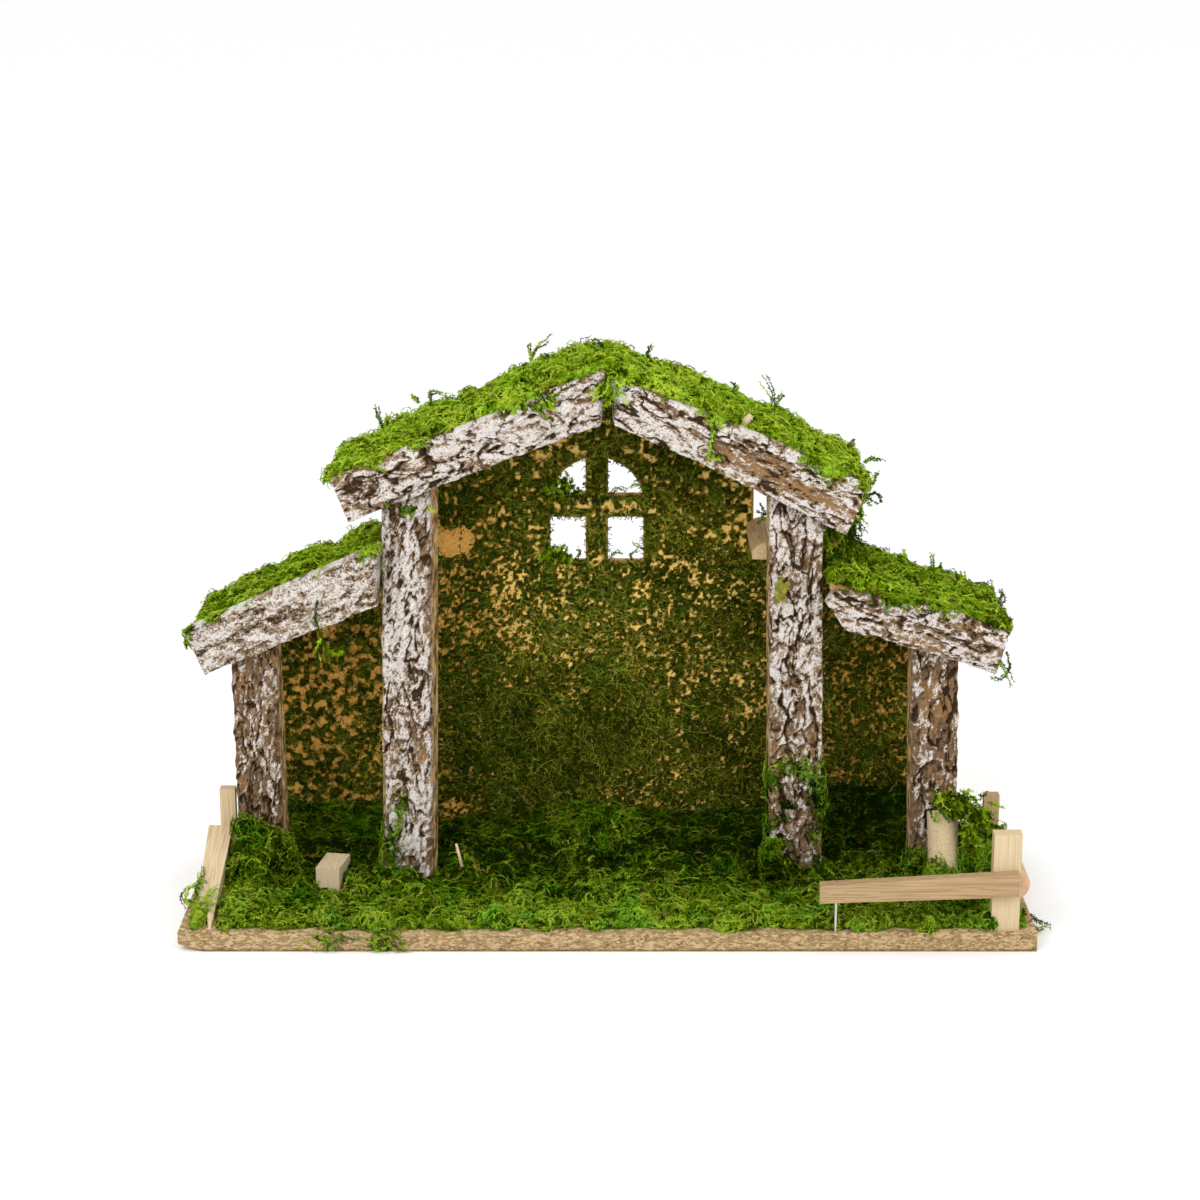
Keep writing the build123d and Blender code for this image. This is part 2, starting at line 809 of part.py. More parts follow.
fence_cushion_x = right_outer - fence_cushion_radius - soft_gap
cushions = (
    ("left_post_moss", -short_left_foot, post_front, left_cushion_radius, left_cushion_height),
    ("right_post_moss", tall_right_foot, post_front, right_cushion_radius, right_cushion_height),
    (
        "fence_moss",
        fence_cushion_x,
        front_edge + fence_cushion_setback,
        fence_cushion_radius,
        fence_cushion_height,
    ),
    ("floor_mound_moss", window_x, wall_front - mound_radius, mound_radius - 2 * wall_moss, mound_height),
)
for name, x, y, radius, height in cushions:
    with BuildPart() as clump:
        cushion(x, y, radius, height)
        if y == post_front:
            split(bisect_by=upright(post_front - soft_gap), keep=Keep.TOP)
    save(clump, name)
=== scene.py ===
import math
import bpy
import numpy as np
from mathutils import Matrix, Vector
from mathutils.bvhtree import BVHTree


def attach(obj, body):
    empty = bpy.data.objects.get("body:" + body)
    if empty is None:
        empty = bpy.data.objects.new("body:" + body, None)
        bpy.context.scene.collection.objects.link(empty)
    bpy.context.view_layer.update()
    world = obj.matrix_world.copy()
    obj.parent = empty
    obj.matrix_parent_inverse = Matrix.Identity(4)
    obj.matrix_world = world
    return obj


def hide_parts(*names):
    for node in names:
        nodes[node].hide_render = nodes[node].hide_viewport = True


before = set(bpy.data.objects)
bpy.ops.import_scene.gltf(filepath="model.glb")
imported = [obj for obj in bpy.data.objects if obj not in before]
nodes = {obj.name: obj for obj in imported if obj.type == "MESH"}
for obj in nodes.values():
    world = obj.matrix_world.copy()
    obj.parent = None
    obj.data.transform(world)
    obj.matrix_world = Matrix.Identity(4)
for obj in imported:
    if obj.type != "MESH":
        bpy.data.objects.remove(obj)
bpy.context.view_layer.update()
scene = bpy.context.scene
toMm = 1000  # from metres
print("frame loaded with", len(nodes), "nodes")


# Smooth noise from 0 to 1 with one hump to a unit
latticeSide = 128
levelShift = (13.7, 5.1)  # moves each level off the one before
lattice = np.random.default_rng(11).random((8, latticeSide, latticeSide))


def grain(x, y, sheet=0):
    column = np.floor(x).astype(int)
    row = np.floor(y).astype(int)
    across = x - column
    down = y - row
    across = across * across * (3 - 2 * across)
    down = down * down * (3 - 2 * down)
    table = lattice[sheet % len(lattice)]
    left = column % latticeSide
    right = (column + 1) % latticeSide
    top = row % latticeSide
    bottom = (row + 1) % latticeSide
    upper = table[top, left] * (1 - across) + table[top, right] * across
    lower = table[bottom, left] * (1 - across) + table[bottom, right] * across
    return upper * (1 - down) + lower * down


def layered(x, y, sheet=0, levels=4):
    total = 0
    weight = 0
    for level in range(levels):
        scale = 2 ** level
        share = 0.5 ** level
        across = x * scale + levelShift[0] * level
        down = y * scale + levelShift[1] * level
        total = total + share * grain(across, down, sheet + level)
        weight = weight + share
    return total / weight


def ease(value, low, high):
    share = np.clip((value - low) / (high - low), 0, 1)
    return share * share * (3 - 2 * share)


# A socket of a material, with shader maths as operators
class Ink:
    def __init__(self, tree, socket=None):
        self.tree = tree
        self.socket = socket

    def add(self, kind, settings=None, values=None, output=0):
        node = self.tree.nodes.new("ShaderNode" + kind)
        for name, value in (settings or {}).items():
            setattr(node, name, value)
        for name, value in (values or {}).items():
            if isinstance(value, Ink):
                self.tree.links.new(value.socket, node.inputs[name])
            else:
                node.inputs[name].default_value = value
        return Ink(self.tree, node.outputs[output] if node.outputs else None)

    def maths(self, operation, first, second=0.0):
        return self.add("Math", {"operation": operation}, {0: first, 1: second})

    def __add__(self, other):
        return self.maths("ADD", self, other)

    def __radd__(self, other):
        return self.maths("ADD", other, self)

    def __sub__(self, other):
        return self.maths("SUBTRACT", self, other)

    def __rsub__(self, other):
        return self.maths("SUBTRACT", other, self)

    def __mul__(self, other):
        return self.maths("MULTIPLY", self, other)

    def __rmul__(self, other):
        return self.maths("MULTIPLY", other, self)

    def ease(self, low, high):
        settings = {"interpolation_type": "SMOOTHSTEP"}
        return self.add("MapRange", settings, {"Value": self, "From Min": low, "From Max": high})

    def mix(self, first, second, blend="MIX"):
        settings = {"data_type": "RGBA", "blend_type": blend}
        return self.add("Mix", settings, {0: self, 6: first, 7: second}, 2)


def place(ink, stretch):
    spot = ink.add("TexCoord", output="Object")
    return ink.add("VectorMath", {"operation": "MULTIPLY"}, {0: spot, 1: stretch})


def cloud(ink, stretch, detail=3.0, roughness=0.55):
    values = {"Vector": place(ink, stretch), "Scale": 1.0, "Detail": detail, "Roughness": roughness}
    return ink.add("TexNoise", {}, values)


def cells(ink, stretch, channel):
    shade = ink.add("TexVoronoi", {}, {"Vector": place(ink, stretch), "Scale": 1.0}, 1)
    return ink.add("SeparateColor", {}, {0: shade}, channel)


def stored(ink, name):
    return ink.add("Attribute", {"attribute_name": name}, {}, 2)


def coat(ink, shade, roughness, gloss, height=None, depth=0.0):
    values = {"Base Color": shade, "Roughness": roughness, "Specular IOR Level": gloss}
    if height is not None:
        values["Normal"] = ink.add("Bump", {}, {"Height": height, "Distance": depth})
    return values


def colour(red, green, blue):
    return (red, green, blue, 1.0)


def material(name, recipe):
    made = bpy.data.materials.new(name)
    made.use_nodes = True
    made.node_tree.nodes.clear()
    ink = Ink(made.node_tree)
    surface = ink.add("BsdfPrincipled", {}, recipe(ink))
    ink.add("OutputMaterial", {}, {"Surface": surface})
    return made


# Bark reads its relief, whitewash and sawn sides from the mesh; the relief value carries painted shade, dark
# in crevices, on steep steps and along crack lines
def barkRecipe(ink):
    fine = cloud(ink, (1000, 1000, 1000), 5.0, 0.72)
    height = stored(ink, "relief") + (fine - 0.5)
    # painted shade: the crust goes dark brown where the relief value is low
    crust = height.ease(-0.05, 0.4).mix(colour(0.055, 0.032, 0.016), colour(0.285, 0.175, 0.094))
    crust = (stored(ink, "tint") * height.ease(0.1, 0.4)).mix(crust, colour(0.42, 0.235, 0.095))
    grit = cloud(ink, (2400, 2400, 2400), 2.0)
    wash = stored(ink, "whitewash") + (fine - 0.5) * 2.2 + (grit - 0.5) * 1.1
    skin = wash.ease(0.38, 0.66).mix(crust, colour(0.43, 0.31, 0.2))
    skin = wash.ease(0.69, 0.94).mix(skin, colour(1.0, 0.93, 0.88))
    streak = cloud(ink, (300, 300, 110), 5.0, 0.65)
    sawn = streak.ease(0.38, 0.62).mix(colour(0.2, 0.1, 0.03), colour(0.95, 0.66, 0.31))
    return coat(ink, stored(ink, "sawn").mix(skin, sawn), 0.95, 0.1, fine, 0.002)


freshTint = colour(0.62, 0.98, 1.0)


def mossRecipe(low, middle, high, share):
    def recipe(ink):
        tone = stored(ink, "tone")
        fine = cloud(ink, (700, 700, 700))
        level = tone + (fine - 0.5) * 0.3
        shade = level.ease(0.05, 0.55).mix(low, middle)
        shade = level.ease(0.5, 1.0).mix(shade, high)
        fresh = cloud(ink, (55, 55, 55), 2.0).ease(0.5, 0.62) * share
        shade = fresh.mix(shade, freshTint, "MULTIPLY")
        straw = colour(0.26, 0.22, 0.035)
        return coat(ink, stored(ink, "straw").mix(shade, straw), 0.9, 0.0)
    return recipe


def bedRecipe(ink):
    fine = cloud(ink, (420, 420, 420), 5.0)
    shade = fine.ease(0.35, 0.7).mix(colour(0.012, 0.018, 0.003), colour(0.06, 0.09, 0.008))
    return coat(ink, shade, 0.95, 0.0, fine, 0.003)


def hardboardRecipe(ink):
    fine = cloud(ink, (500, 500, 900), 5.0)
    patch = cloud(ink, (40, 40, 40))
    shade = fine.ease(0.3, 0.7).mix(colour(0.44, 0.235, 0.055), colour(0.62, 0.37, 0.13))
    shade = (patch.ease(0.4, 0.7) * 0.4).mix(shade, colour(0.4, 0.235, 0.075))
    return coat(ink, shade, 0.8, 0.25, fine, 0.0002)


def feltRecipe(ink):
    fine = cloud(ink, (900, 900, 900), 4.0, 0.65)
    # the board in the gaps is painted light: brighter than the hardboard's own colour, as if unshaded
    orange = fine.ease(0.3, 0.7).mix(colour(0.66, 0.32, 0.04), colour(0.92, 0.53, 0.15))
    board = stored(ink, "pale").mix(orange, colour(0.94, 0.64, 0.18))
    green = fine.ease(0.3, 0.7).mix(colour(0.012, 0.016, 0.001), colour(0.075, 0.085, 0.005))
    gap = stored(ink, "gap") + (fine - 0.5) * 0.25
    # painted shade: the green darkens towards the foot of the wall
    green = (stored(ink, "paintedLowShade") * 0.4).mix(green, colour(0.03, 0.036, 0.003))
    # painted shade: the gaps grade from brown edges to a bright middle, as where the moss around them shades
    # the board
    shade = gap.ease(-0.06, 0.0).mix(green, colour(0.34, 0.2, 0.018))
    shade = gap.ease(0.0, 0.12).mix(shade, board)
    return coat(ink, shade, 0.9, 0.1, fine, 0.0006)


def chipboardRecipe(ink):
    mark = cells(ink, (480, 480, 1100), 0)
    speck = cells(ink, (900, 900, 1900), 1)
    fine = cloud(ink, (520, 520, 1500), 6.0, 0.75)
    shade = mark.ease(0.1, 0.9).mix(colour(0.36, 0.24, 0.105), colour(0.66, 0.48, 0.255))
    crowd = cloud(ink, (130, 130, 260), 2.0).ease(0.35, 0.62)
    shade = (speck.ease(0.74, 0.84) * crowd * 0.85).mix(shade, colour(0.16, 0.085, 0.03))
    shade = ((fine - 0.56).ease(0.0, 0.08) * crowd * 0.85).mix(shade, colour(0.2, 0.105, 0.04))
    # painted shadow: the bottom two millimetres of the board darken to brown
    height = ink.add("SeparateXYZ", {}, {0: ink.add("TexCoord", output="Object")}, 2)
    shade = ((height + (fine - 0.5) * 0.006).ease(0.002, 0.0) * 0.8).mix(shade, colour(0.1, 0.055, 0.02))
    return coat(ink, shade, 0.85, 0.2, fine + mark * 0.5, 0.0008)


def pineRecipe(stretch, pale, dark):
    def recipe(ink):
        ring = cloud(ink, stretch, 2.0)
        fine = cloud(ink, tuple(4 * side for side in stretch), 3.0)
        line = ring.maths("FRACT", ring * 9.0)  # nine rings over the noise
        shade = line.ease(0.35, 0.95).mix(pale, dark)
        shade = ((fine - 0.5).ease(0.05, 0.3) * 0.5).mix(shade, dark)
        return coat(ink, shade, 0.65, 0.3, fine, 0.0002)
    return recipe


def steelRecipe(ink):
    fine = cloud(ink, (300, 300, 4000))
    shade = fine.mix(colour(0.5, 0.5, 0.49), colour(0.75, 0.75, 0.73))
    return {"Base Color": shade, "Metallic": 1.0, "Roughness": fine * 0.2 + 0.25}


def floorRecipe(ink):
    fine = cloud(ink, (30, 30, 30))
    return {"Base Color": fine.mix(colour(0.93, 0.93, 0.93), colour(0.95, 0.95, 0.95)), "Roughness": 0.9}


barkMaterial = material("bark", barkRecipe)
bedMaterial = material("mossBed", bedRecipe)
hardboard = material("hardboard", hardboardRecipe)
feltMaterial = material("felt", feltRecipe)
chipboard = material("chipboard", chipboardRecipe)
steel = material("steel", steelRecipe)
roofGreens = (colour(0.02, 0.034, 0.001), colour(0.17, 0.29, 0.003), colour(0.42, 0.57, 0.04))
floorGreens = (colour(0.01, 0.018, 0.001), colour(0.096, 0.172, 0.002), colour(0.31, 0.45, 0.03))
wallGreens = (colour(0.012, 0.018, 0.001), colour(0.09, 0.112, 0.005), colour(0.32, 0.32, 0.035))
roofMoss = material("roofMoss", mossRecipe(*roofGreens, 0.35))
floorMoss = material("floorMoss", mossRecipe(*floorGreens, 0.8))
wallMoss = material("wallMoss", mossRecipe(*wallGreens, 0.5))
print("materials mixed")


# Meshes of triangles, with values on the points
sharpAngle = math.radians(50)
firstSplit = ((0, 1, 2), (0, 2, 3))  # the corners of a cell's two triangles
otherSplit = ((0, 3, 2), (0, 2, 1))  # the same, turned over


def meshOf(name, points, faces, values, smooth=False):
    mesh = bpy.data.meshes.new(name)
    mesh.vertices.add(len(points))
    mesh.vertices.foreach_set("co", np.ascontiguousarray(points, np.float32).ravel())
    mesh.loops.add(faces.size)
    mesh.loops.foreach_set("vertex_index", np.ascontiguousarray(faces, np.int32).ravel())
    mesh.polygons.add(len(faces))
    mesh.polygons.foreach_set("loop_start", np.arange(0, faces.size, 3, dtype=np.int32))
    mesh.update(calc_edges=True)
    for key, value in values.items():
        layer = mesh.attributes.new(key, "FLOAT", "POINT")
        layer.data.foreach_set("value", np.ascontiguousarray(value, np.float32))
    if smooth:
        mesh.shade_smooth()
        mesh.set_sharp_from_angle(angle=sharpAngle)
    return mesh


def settle(name, mesh, look, slot, *stands):
    piece = bpy.data.objects.new(name, mesh)
    scene.collection.objects.link(piece)
    mesh.materials.append(look)
    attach(piece, "root")
    if stands:
        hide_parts(*stands)


def gathered(items, field, kind=np.float32):
    flat = np.empty(len(items) * 3, kind)
    items.foreach_get(field, flat)
    return flat.reshape(-1, 3)


def pointsIn(mesh):
    return gathered(mesh.vertices, "co").astype(float)


def trianglesIn(mesh):
    mesh.calc_loop_triangles()
    return gathered(mesh.loop_triangles, "vertices", np.int32)


def solidOf(name):
    mesh = nodes[name].data
    return pointsIn(mesh), trianglesIn(mesh)


def netFaces(rows, columns, splits):
    order = np.arange(rows * columns).reshape(rows, columns)
    corners = (order[:-1, :-1], order[1:, :-1], order[1:, 1:], order[:-1, 1:])
    return [np.stack([corners[side].ravel() for side in split], -1) for split in splits]


def treeOf(*shells):
    points = []
    faces = []
    used = 0
    for spots, corners in shells:
        points.append(spots)
        faces.append(corners + used)
        used = used + len(spots)
    return BVHTree.FromPolygons(np.concatenate(points).tolist(), np.concatenate(faces).tolist())


# Bark slabs: the outline of the solid, with a front of ridges, flakes and cracks
def runOf(name):
    flat = solidOf(name)[0][:, [0, 2]]
    along = np.linalg.svd(flat - flat.mean(0), full_matrices=False)[2][0]
    if abs(along[1]) > abs(along[0]):
        along = along * np.sign(along[1])
        return along, np.array((along[1], -along[0]))
    along = along * -np.sign(along[1])
    across = np.array((along[1], -along[0]))
    return along, across * np.sign(across[1])


outlineLook = {"rows": 60, "columns": 9, "skin": 0.0003, "far": 0.02}  # rays, their depth and start


def outlineOf(name, along, across):
    shell = solidOf(name)
    tree = treeOf(shell)
    depth = shell[0][:, 1].max() - outlineLook["skin"]
    down = shell[0][:, [0, 2]] @ along
    wide = shell[0][:, [0, 2]] @ across
    far = outlineLook["far"]

    def edge(start, direction):
        origin = Vector((start[0], depth, start[1]))
        hit = tree.ray_cast(origin, Vector((direction[0], 0, direction[1])))[0]
        return None if hit is None else np.array((hit.x, hit.z))

    rows = []
    for row in np.linspace(down.min(), down.max(), outlineLook["rows"])[1:-1]:
        low = edge(along * row + across * (wide.min() - far), across)
        high = edge(along * row + across * (wide.max() + far), -across)
        if low is not None and high is not None:
            rows.append((row, low @ across, high @ across))
    middle = (wide.min() + wide.max()) / 2
    reach = (wide.max() - wide.min()) * 0.2
    columns = []
    for column in np.linspace(middle - reach, middle + reach, outlineLook["columns"]):
        first = edge(across * column + along * (down.min() - far), along)
        last = edge(across * column + along * (down.max() + far), -along)
        if first is not None and last is not None:
            columns.append((column, first @ along, last @ along))
    return np.array(rows), np.array(columns)


def ledges(value, count, sharp):
    scaled = value * count
    whole = np.floor(scaled)
    return (whole + ease(scaled - whole, 0, sharp)) / count


def spread(value):
    low, high = np.percentile(value, (2, 98))
    return np.clip((value - low) / (high - low), 0, 1)


# Plates between cracks: how far a crack is, and a number for each plate
def plates(wide, down, size, sheet):
    across = wide / size[0]
    along = down / size[1]
    column = np.floor(across).astype(int)
    row = np.floor(along).astype(int)
    near = np.full(across.shape, 9.0)
    second = near.copy()
    number = np.zeros_like(near)
    sides, downs, numbers = (lattice[(sheet + shift) % len(lattice)] for shift in (0, 3, 5))
    for stepDown in (-1, 0, 1):
        for stepSide in (-1, 0, 1):
            spot = ((row + stepDown) % latticeSide, (column + stepSide) % latticeSide)
            gap = np.hypot(column + stepSide + sides[spot] - across, row + stepDown + downs[spot] - along)
            closer = gap < near
            second = np.where(closer, near, np.minimum(second, gap))
            number = np.where(closer, numbers[spot], number)
            near = np.minimum(near, gap)
    return second - near, number


def reliefOf(wide, down, look):
    sheet = look["sheet"]
    swayed = wide + look["sway"] * (layered(wide / 9, down / 16, sheet) - 0.5)
    slid = down + 16 * (layered(wide / 7, down / 16, sheet + 1) - 0.5)
    crack, plate = plates(swayed, slid, look["plate"], sheet)
    rough = swayed + 2.5 * (layered(wide / 2.5, down / 3, sheet + 5) - 0.5)
    split, flake = plates(rough, slid, [0.42 * side for side in look["plate"]], sheet + 2)
    ridge = spread(layered(swayed / 5, slid / 30, sheet + 2, 3))
    lump = spread(layered(wide / 1.6, down / 2.4, sheet + 4, 3))
    bent = swayed + 3 * (layered(wide / 4, down / 5, sheet + 6) - 0.5)
    lines = 1 - ease(np.abs(layered(bent / 5, slid / 17, sheet + 3, 2) - 0.5), 0.008, 0.04)
    height = look["bold"] * plate + 0.4 * ledges(ridge, 4, 0.25) + 0.22 * flake + 0.3 * lump
    height = height - 0.7 * look["bold"] * (1 - ease(crack, 0.0, 0.12)) - 0.1 * (1 - ease(split, 0.0, 0.2))
    lines = look["lines"] * lines
    return spread(height - 0.35 * lines), flake, lines


def blurred(grid, reach):
    for axis in (0, 1):
        width = reach[axis]
        ends = [(0, 0), (0, 0)]
        ends[axis] = (width + 1, width)
        total = np.cumsum(np.pad(grid, ends, "edge"), axis)
        size = grid.shape[axis]
        upper = np.take(total, np.arange(2 * width + 1, 2 * width + 1 + size), axis)
        grid = (upper - np.take(total, np.arange(size), axis)) / (2 * width + 1)
    return grid


barkStep = (0.0006, 0.0007)  # across and along


def barkSlab(name, look):
    along, across = runOf(name)
    rows, columns = outlineOf(name, along, across)
    deeps = solidOf(name)[0][:, 1]
    back = deeps.max()
    crest = deeps.min()
    firstLine = np.polyfit(columns[:, 0], columns[:, 1], 1)
    lastLine = np.polyfit(columns[:, 0], columns[:, 2], 1)
    wideSpan = (rows[:, 2] - rows[:, 1]).max()
    downSpan = rows[-1, 0] - rows[0, 0]
    wideShare = np.linspace(0, 1, int(wideSpan / barkStep[0]))
    downShare = np.linspace(0, 1, int(downSpan / barkStep[1]))
    u, v = np.meshgrid(wideShare, downShare, indexing="ij")
    down = rows[0, 0] + v * downSpan
    for turn in range(5):  # sides and ends follow each other
        low = np.interp(down, rows[:, 0], rows[:, 1])
        high = np.interp(down, rows[:, 0], rows[:, 2])
        wide = low + u * (high - low)
        first = np.polyval(firstLine, wide)
        down = first + v * (np.polyval(lastLine, wide) - first)
    wideMm = wide * toMm
    downMm = down * toMm
    relief, flake, lines = reliefOf(wideMm, downMm, look)
    lowRim, highRim = look["rims"]
    sheet = look["sheet"]
    lowRim = lowRim * (0.5 + layered(downMm / 9, downMm * 0 + 2.5, sheet + 2))
    highRim = highRim * (0.5 + layered(downMm / 9, downMm * 0 + 7.5, sheet + 3))
    lowRim = lowRim + look["chip"] * ease(down - down.min(), 0.075, 0.05)
    lowSide = np.clip((wide - low) * toMm / lowRim, 0, 1)
    highSide = np.clip((high - wide) * toMm / highRim, 0, 1)
    side = np.minimum(lowSide, highSide)
    middle = np.abs(2 * u - 1)
    front = crest + look["bulge"] * middle ** 3 + look["depth"] * (1 - relief)
    deep = back - side * (back - front)
    nudge = look["ragged"] * (layered(downMm / 5, wideMm / 9, sheet + 4) - 0.5)
    wide = wide + nudge * (np.sign(u - 0.5)) * ease(middle, 0.7, 1) * ease(side, 0.2, 0.9)
    x = wide * across[0] + down * along[0]
    z = wide * across[1] + down * along[1]
    points = np.stack((x, deep, z), -1).reshape(-1, 3)
    sawn = look["cut"] * (1 - ease(side, 0.7, 0.98))
    proud = relief - blurred(blurred(relief, (5, 7)), (5, 7))
    brushed = 1.2 * layered(wideMm / 1.1, downMm / 2.2, sheet + 5, 3) - 0.6
    patch = layered(wideMm / 11, downMm / 26, sheet + 6, 3) - 0.5
    # steep slopes of the relief get painted ledge shadows
    slope = np.hypot(*np.gradient(blurred(relief, (1, 1))))
    step = ease(slope, 0.06, 0.2)
    chalk = 1.2 * proud + 0.3 * (flake - 0.5) + 0.3 * (relief - 0.5) + brushed + 0.95 * patch
    # painted shade: less whitewash on steep steps and along crack lines
    chalk = chalk - 0.3 * step - 0.55 * lines
    foot, loss = look["foot"]
    rubbed = loss * ease(z * toMm + 30 * patch, foot, foot - 30)
    chalk = 0.64 + look["white"] + look["contrast"] * chalk - rubbed
    tint = 0.8 * ease(layered(wideMm / 8, downMm / 22, sheet + 7, 2), 0.52, 0.68)
    for line, width in look["streaks"]:
        streak = np.exp(-(((u - line + 0.12 * patch) / width) ** 2)) * ease(v + 0.4 * patch, 0.3, 0.45)
        tint = np.maximum(tint, streak)
        chalk = chalk - 0.6 * streak
    wideCount, downCount = u.shape
    index = np.arange(wideCount * downCount).reshape(wideCount, downCount)
    faces = netFaces(wideCount, downCount, firstSplit)
    lowEdge = index[0]
    highEdge = index[-1]
    faces.append(np.stack((highEdge[:-1], lowEdge[:-1], lowEdge[1:]), -1))
    faces.append(np.stack((highEdge[:-1], lowEdge[1:], highEdge[1:]), -1))
    for row, flip in ((index[:, 0], False), (index[:, -1], True)):
        fan = np.stack((np.full(wideCount - 2, row[0]), row[2:], row[1:-1]), -1)
        faces.append(fan[:, ::-1] if flip else fan)
    chalk = np.clip(chalk, 0, 1)
    # painted shade: the relief value for the colour is darker on steep steps and along crack lines
    shade = np.clip(relief - 0.45 * step - 0.5 * lines, 0, 1)
    values = {"relief": shade, "whitewash": chalk, "sawn": sawn, "tint": tint}
    values = {key: value.ravel() for key, value in values.items()}
    faces = np.concatenate(faces)
    if np.cross(along, across) > 0:
        faces = faces[:, ::-1]
    settle(name + "_bark", meshOf(name, points, faces, values, True), barkMaterial, "bark", name)
    return points, faces


barkLook = {
    "ragged": 0.0022, "chip": 0, "cut": 0, "bulge": 0.0018, "depth": 0.0038, "rims": (0.8, 0.4), "white": 0,
    "plate": (6, 12), "sway": 7, "contrast": 1, "streaks": (), "bold": 0.3, "lines": 1, "foot": (0, 0),
}
barkLooks = {
    "tall_post_left": {
        "sheet": 0, "cut": 1, "rims": (0.8, 3.4), "lines": 0.75, "white": 0.2, "chip": 1.5,
        "foot": (52, 0.42),
    },
    "tall_post_right": {
        "sheet": 1, "cut": 1, "rims": (1.2, 0.9), "plate": (10, 12), "bold": 0.5, "depth": 0.0048,
        "white": 0.05, "foot": (78, 0.28),
    },
    "short_post_left": {
        "sheet": 2, "cut": 1, "rims": (0.8, 1.8), "plate": (4, 14), "white": -0.23, "foot": (60, 0.12),
    },
    "short_post_right": {
        "sheet": 3, "cut": 1, "rims": (1.4, 0.8), "white": -0.52, "contrast": 1.6, "foot": (60, 0.15),
    },
    "main_rafter_left": {
        "sheet": 4, "plate": (12, 16), "bold": 0.5, "sway": 10, "depth": 0.005, "white": 0.2,
        "foot": (236, 0.24),
    },
    "main_rafter_right": {
        "sheet": 5, "plate": (5, 26), "depth": 0.0032, "white": 0.2, "streaks": ((0.4, 0.14),),
    },
    "side_rafter_left": {
        "sheet": 6, "plate": (6, 9), "bulge": 0.001, "depth": 0.0026, "white": 0.12, "contrast": 0.5,
        "lines": 0.4,
    },
    "side_rafter_right": {"sheet": 7, "plate": (6, 13), "depth": 0.0034, "white": 0.05},
}
barkShells = {}
for name, look in barkLooks.items():
    barkShells[name] = barkSlab(name, {**barkLook, **look})
print("bark cut")


# Moss: lumpy beds, with leafy strands laid over them
def unit(vectors):
    return vectors / np.maximum(np.linalg.norm(vectors, axis=-1, keepdims=True), 1e-12)


def clumps(spots, size, sheet):
    x, y, z = spots.T * toMm
    return layered((x + 0.7 * z) / size, (y + 0.7 * z) / size, sheet, 3) - 0.5


bedVoxel = 0.0015


def bedPiece(name, look):
    holder = bpy.data.objects.new("holder", nodes[name].data.copy())
    scene.collection.objects.link(holder)
    modifier = holder.modifiers.new("net", "REMESH")
    modifier.mode = "VOXEL"
    modifier.voxel_size = bedVoxel
    graph = bpy.context.evaluated_depsgraph_get()
    mesh = bpy.data.meshes.new_from_object(holder.evaluated_get(graph))
    bpy.data.objects.remove(holder)
    points = pointsIn(mesh)
    ups = gathered(mesh.vertex_normals, "vector")
    far = np.abs(points[:, 0])
    hollow = np.interp(far, (far.min(), far.max()), look["hollow"])
    swell = look["lump"] * clumps(points, look["lumpSize"], 3) - look["sink"]
    swell = np.clip(swell, hollow, look["crest"])
    for middle, height, wide in look["humps"]:
        swell = swell + height * np.exp(-(((points[:, 0] - middle) / wide) ** 2))
    end = np.where(points[:, 0] * ups[:, 0] < 0, 0.001, -0.002)
    swell = np.where(np.abs(ups[:, 0]) > 0.8, end, swell) * (ups[:, 2] > -0.4)
    points = points + ups * swell[:, None]
    points[:, 1] = np.minimum(points[:, 1], look["back"])
    faces = trianglesIn(mesh)
    faces = faces[clumps(points[faces].mean(1), 10, 6) > look["bare"]]
    settle(name + "_bed", meshOf(name + "_bed", points, faces, {}, True), bedMaterial, "moss", name)
    return points, faces


def scatter(shell, count, wanted, chance):
    points, faces = shell
    corners = points[faces]
    cross = np.cross(corners[:, 1] - corners[:, 0], corners[:, 2] - corners[:, 0])
    weight = np.linalg.norm(cross, axis=1) * wanted(corners.mean(1), unit(cross))
    pick = chance.choice(len(weight), count, p=weight / weight.sum())
    first = np.sqrt(chance.random(count))[:, None]
    second = chance.random(count)[:, None]
    a, b, c = (corners[pick, 0], corners[pick, 1], corners[pick, 2])
    return a * (1 - first) + b * first * (1 - second) + c * first * second


def nearest(tree, spots):
    if tree is None:
        return spots, np.zeros_like(spots) + (0, -1, 0)
    hits = [tree.find_nearest(Vector(spot)) for spot in spots.tolist()]
    return np.array([hit[0] for hit in hits]), np.array([hit[1] for hit in hits])


# A strand creeps joint by joint over what lies under it
def creep(tree, roots, headings, look, chance):
    count = len(roots)
    step = chance.uniform(*look["length"], (count, 1)) / look["joints"]
    bend = chance.normal(0, look["bend"], (count, 1)) / look["joints"]
    curl = chance.normal(0, look["curl"], (count, 1))
    phase = math.tau * chance.random((count, 1))
    spot, up = nearest(tree, roots)
    way = headings
    trail = []
    for joint in range(look["joints"] + 1):
        way = unit(way - up * np.sum(way * up, -1, keepdims=True))
        turn = bend + curl * np.sin(phase + 1.3 * joint)
        way = way * np.cos(turn) + np.cross(up, way) * np.sin(turn)
        trail.append((spot, up, way))
        spot, up = nearest(tree, spot + way * step)
    return [np.stack(each, 1) for each in zip(*trail)]


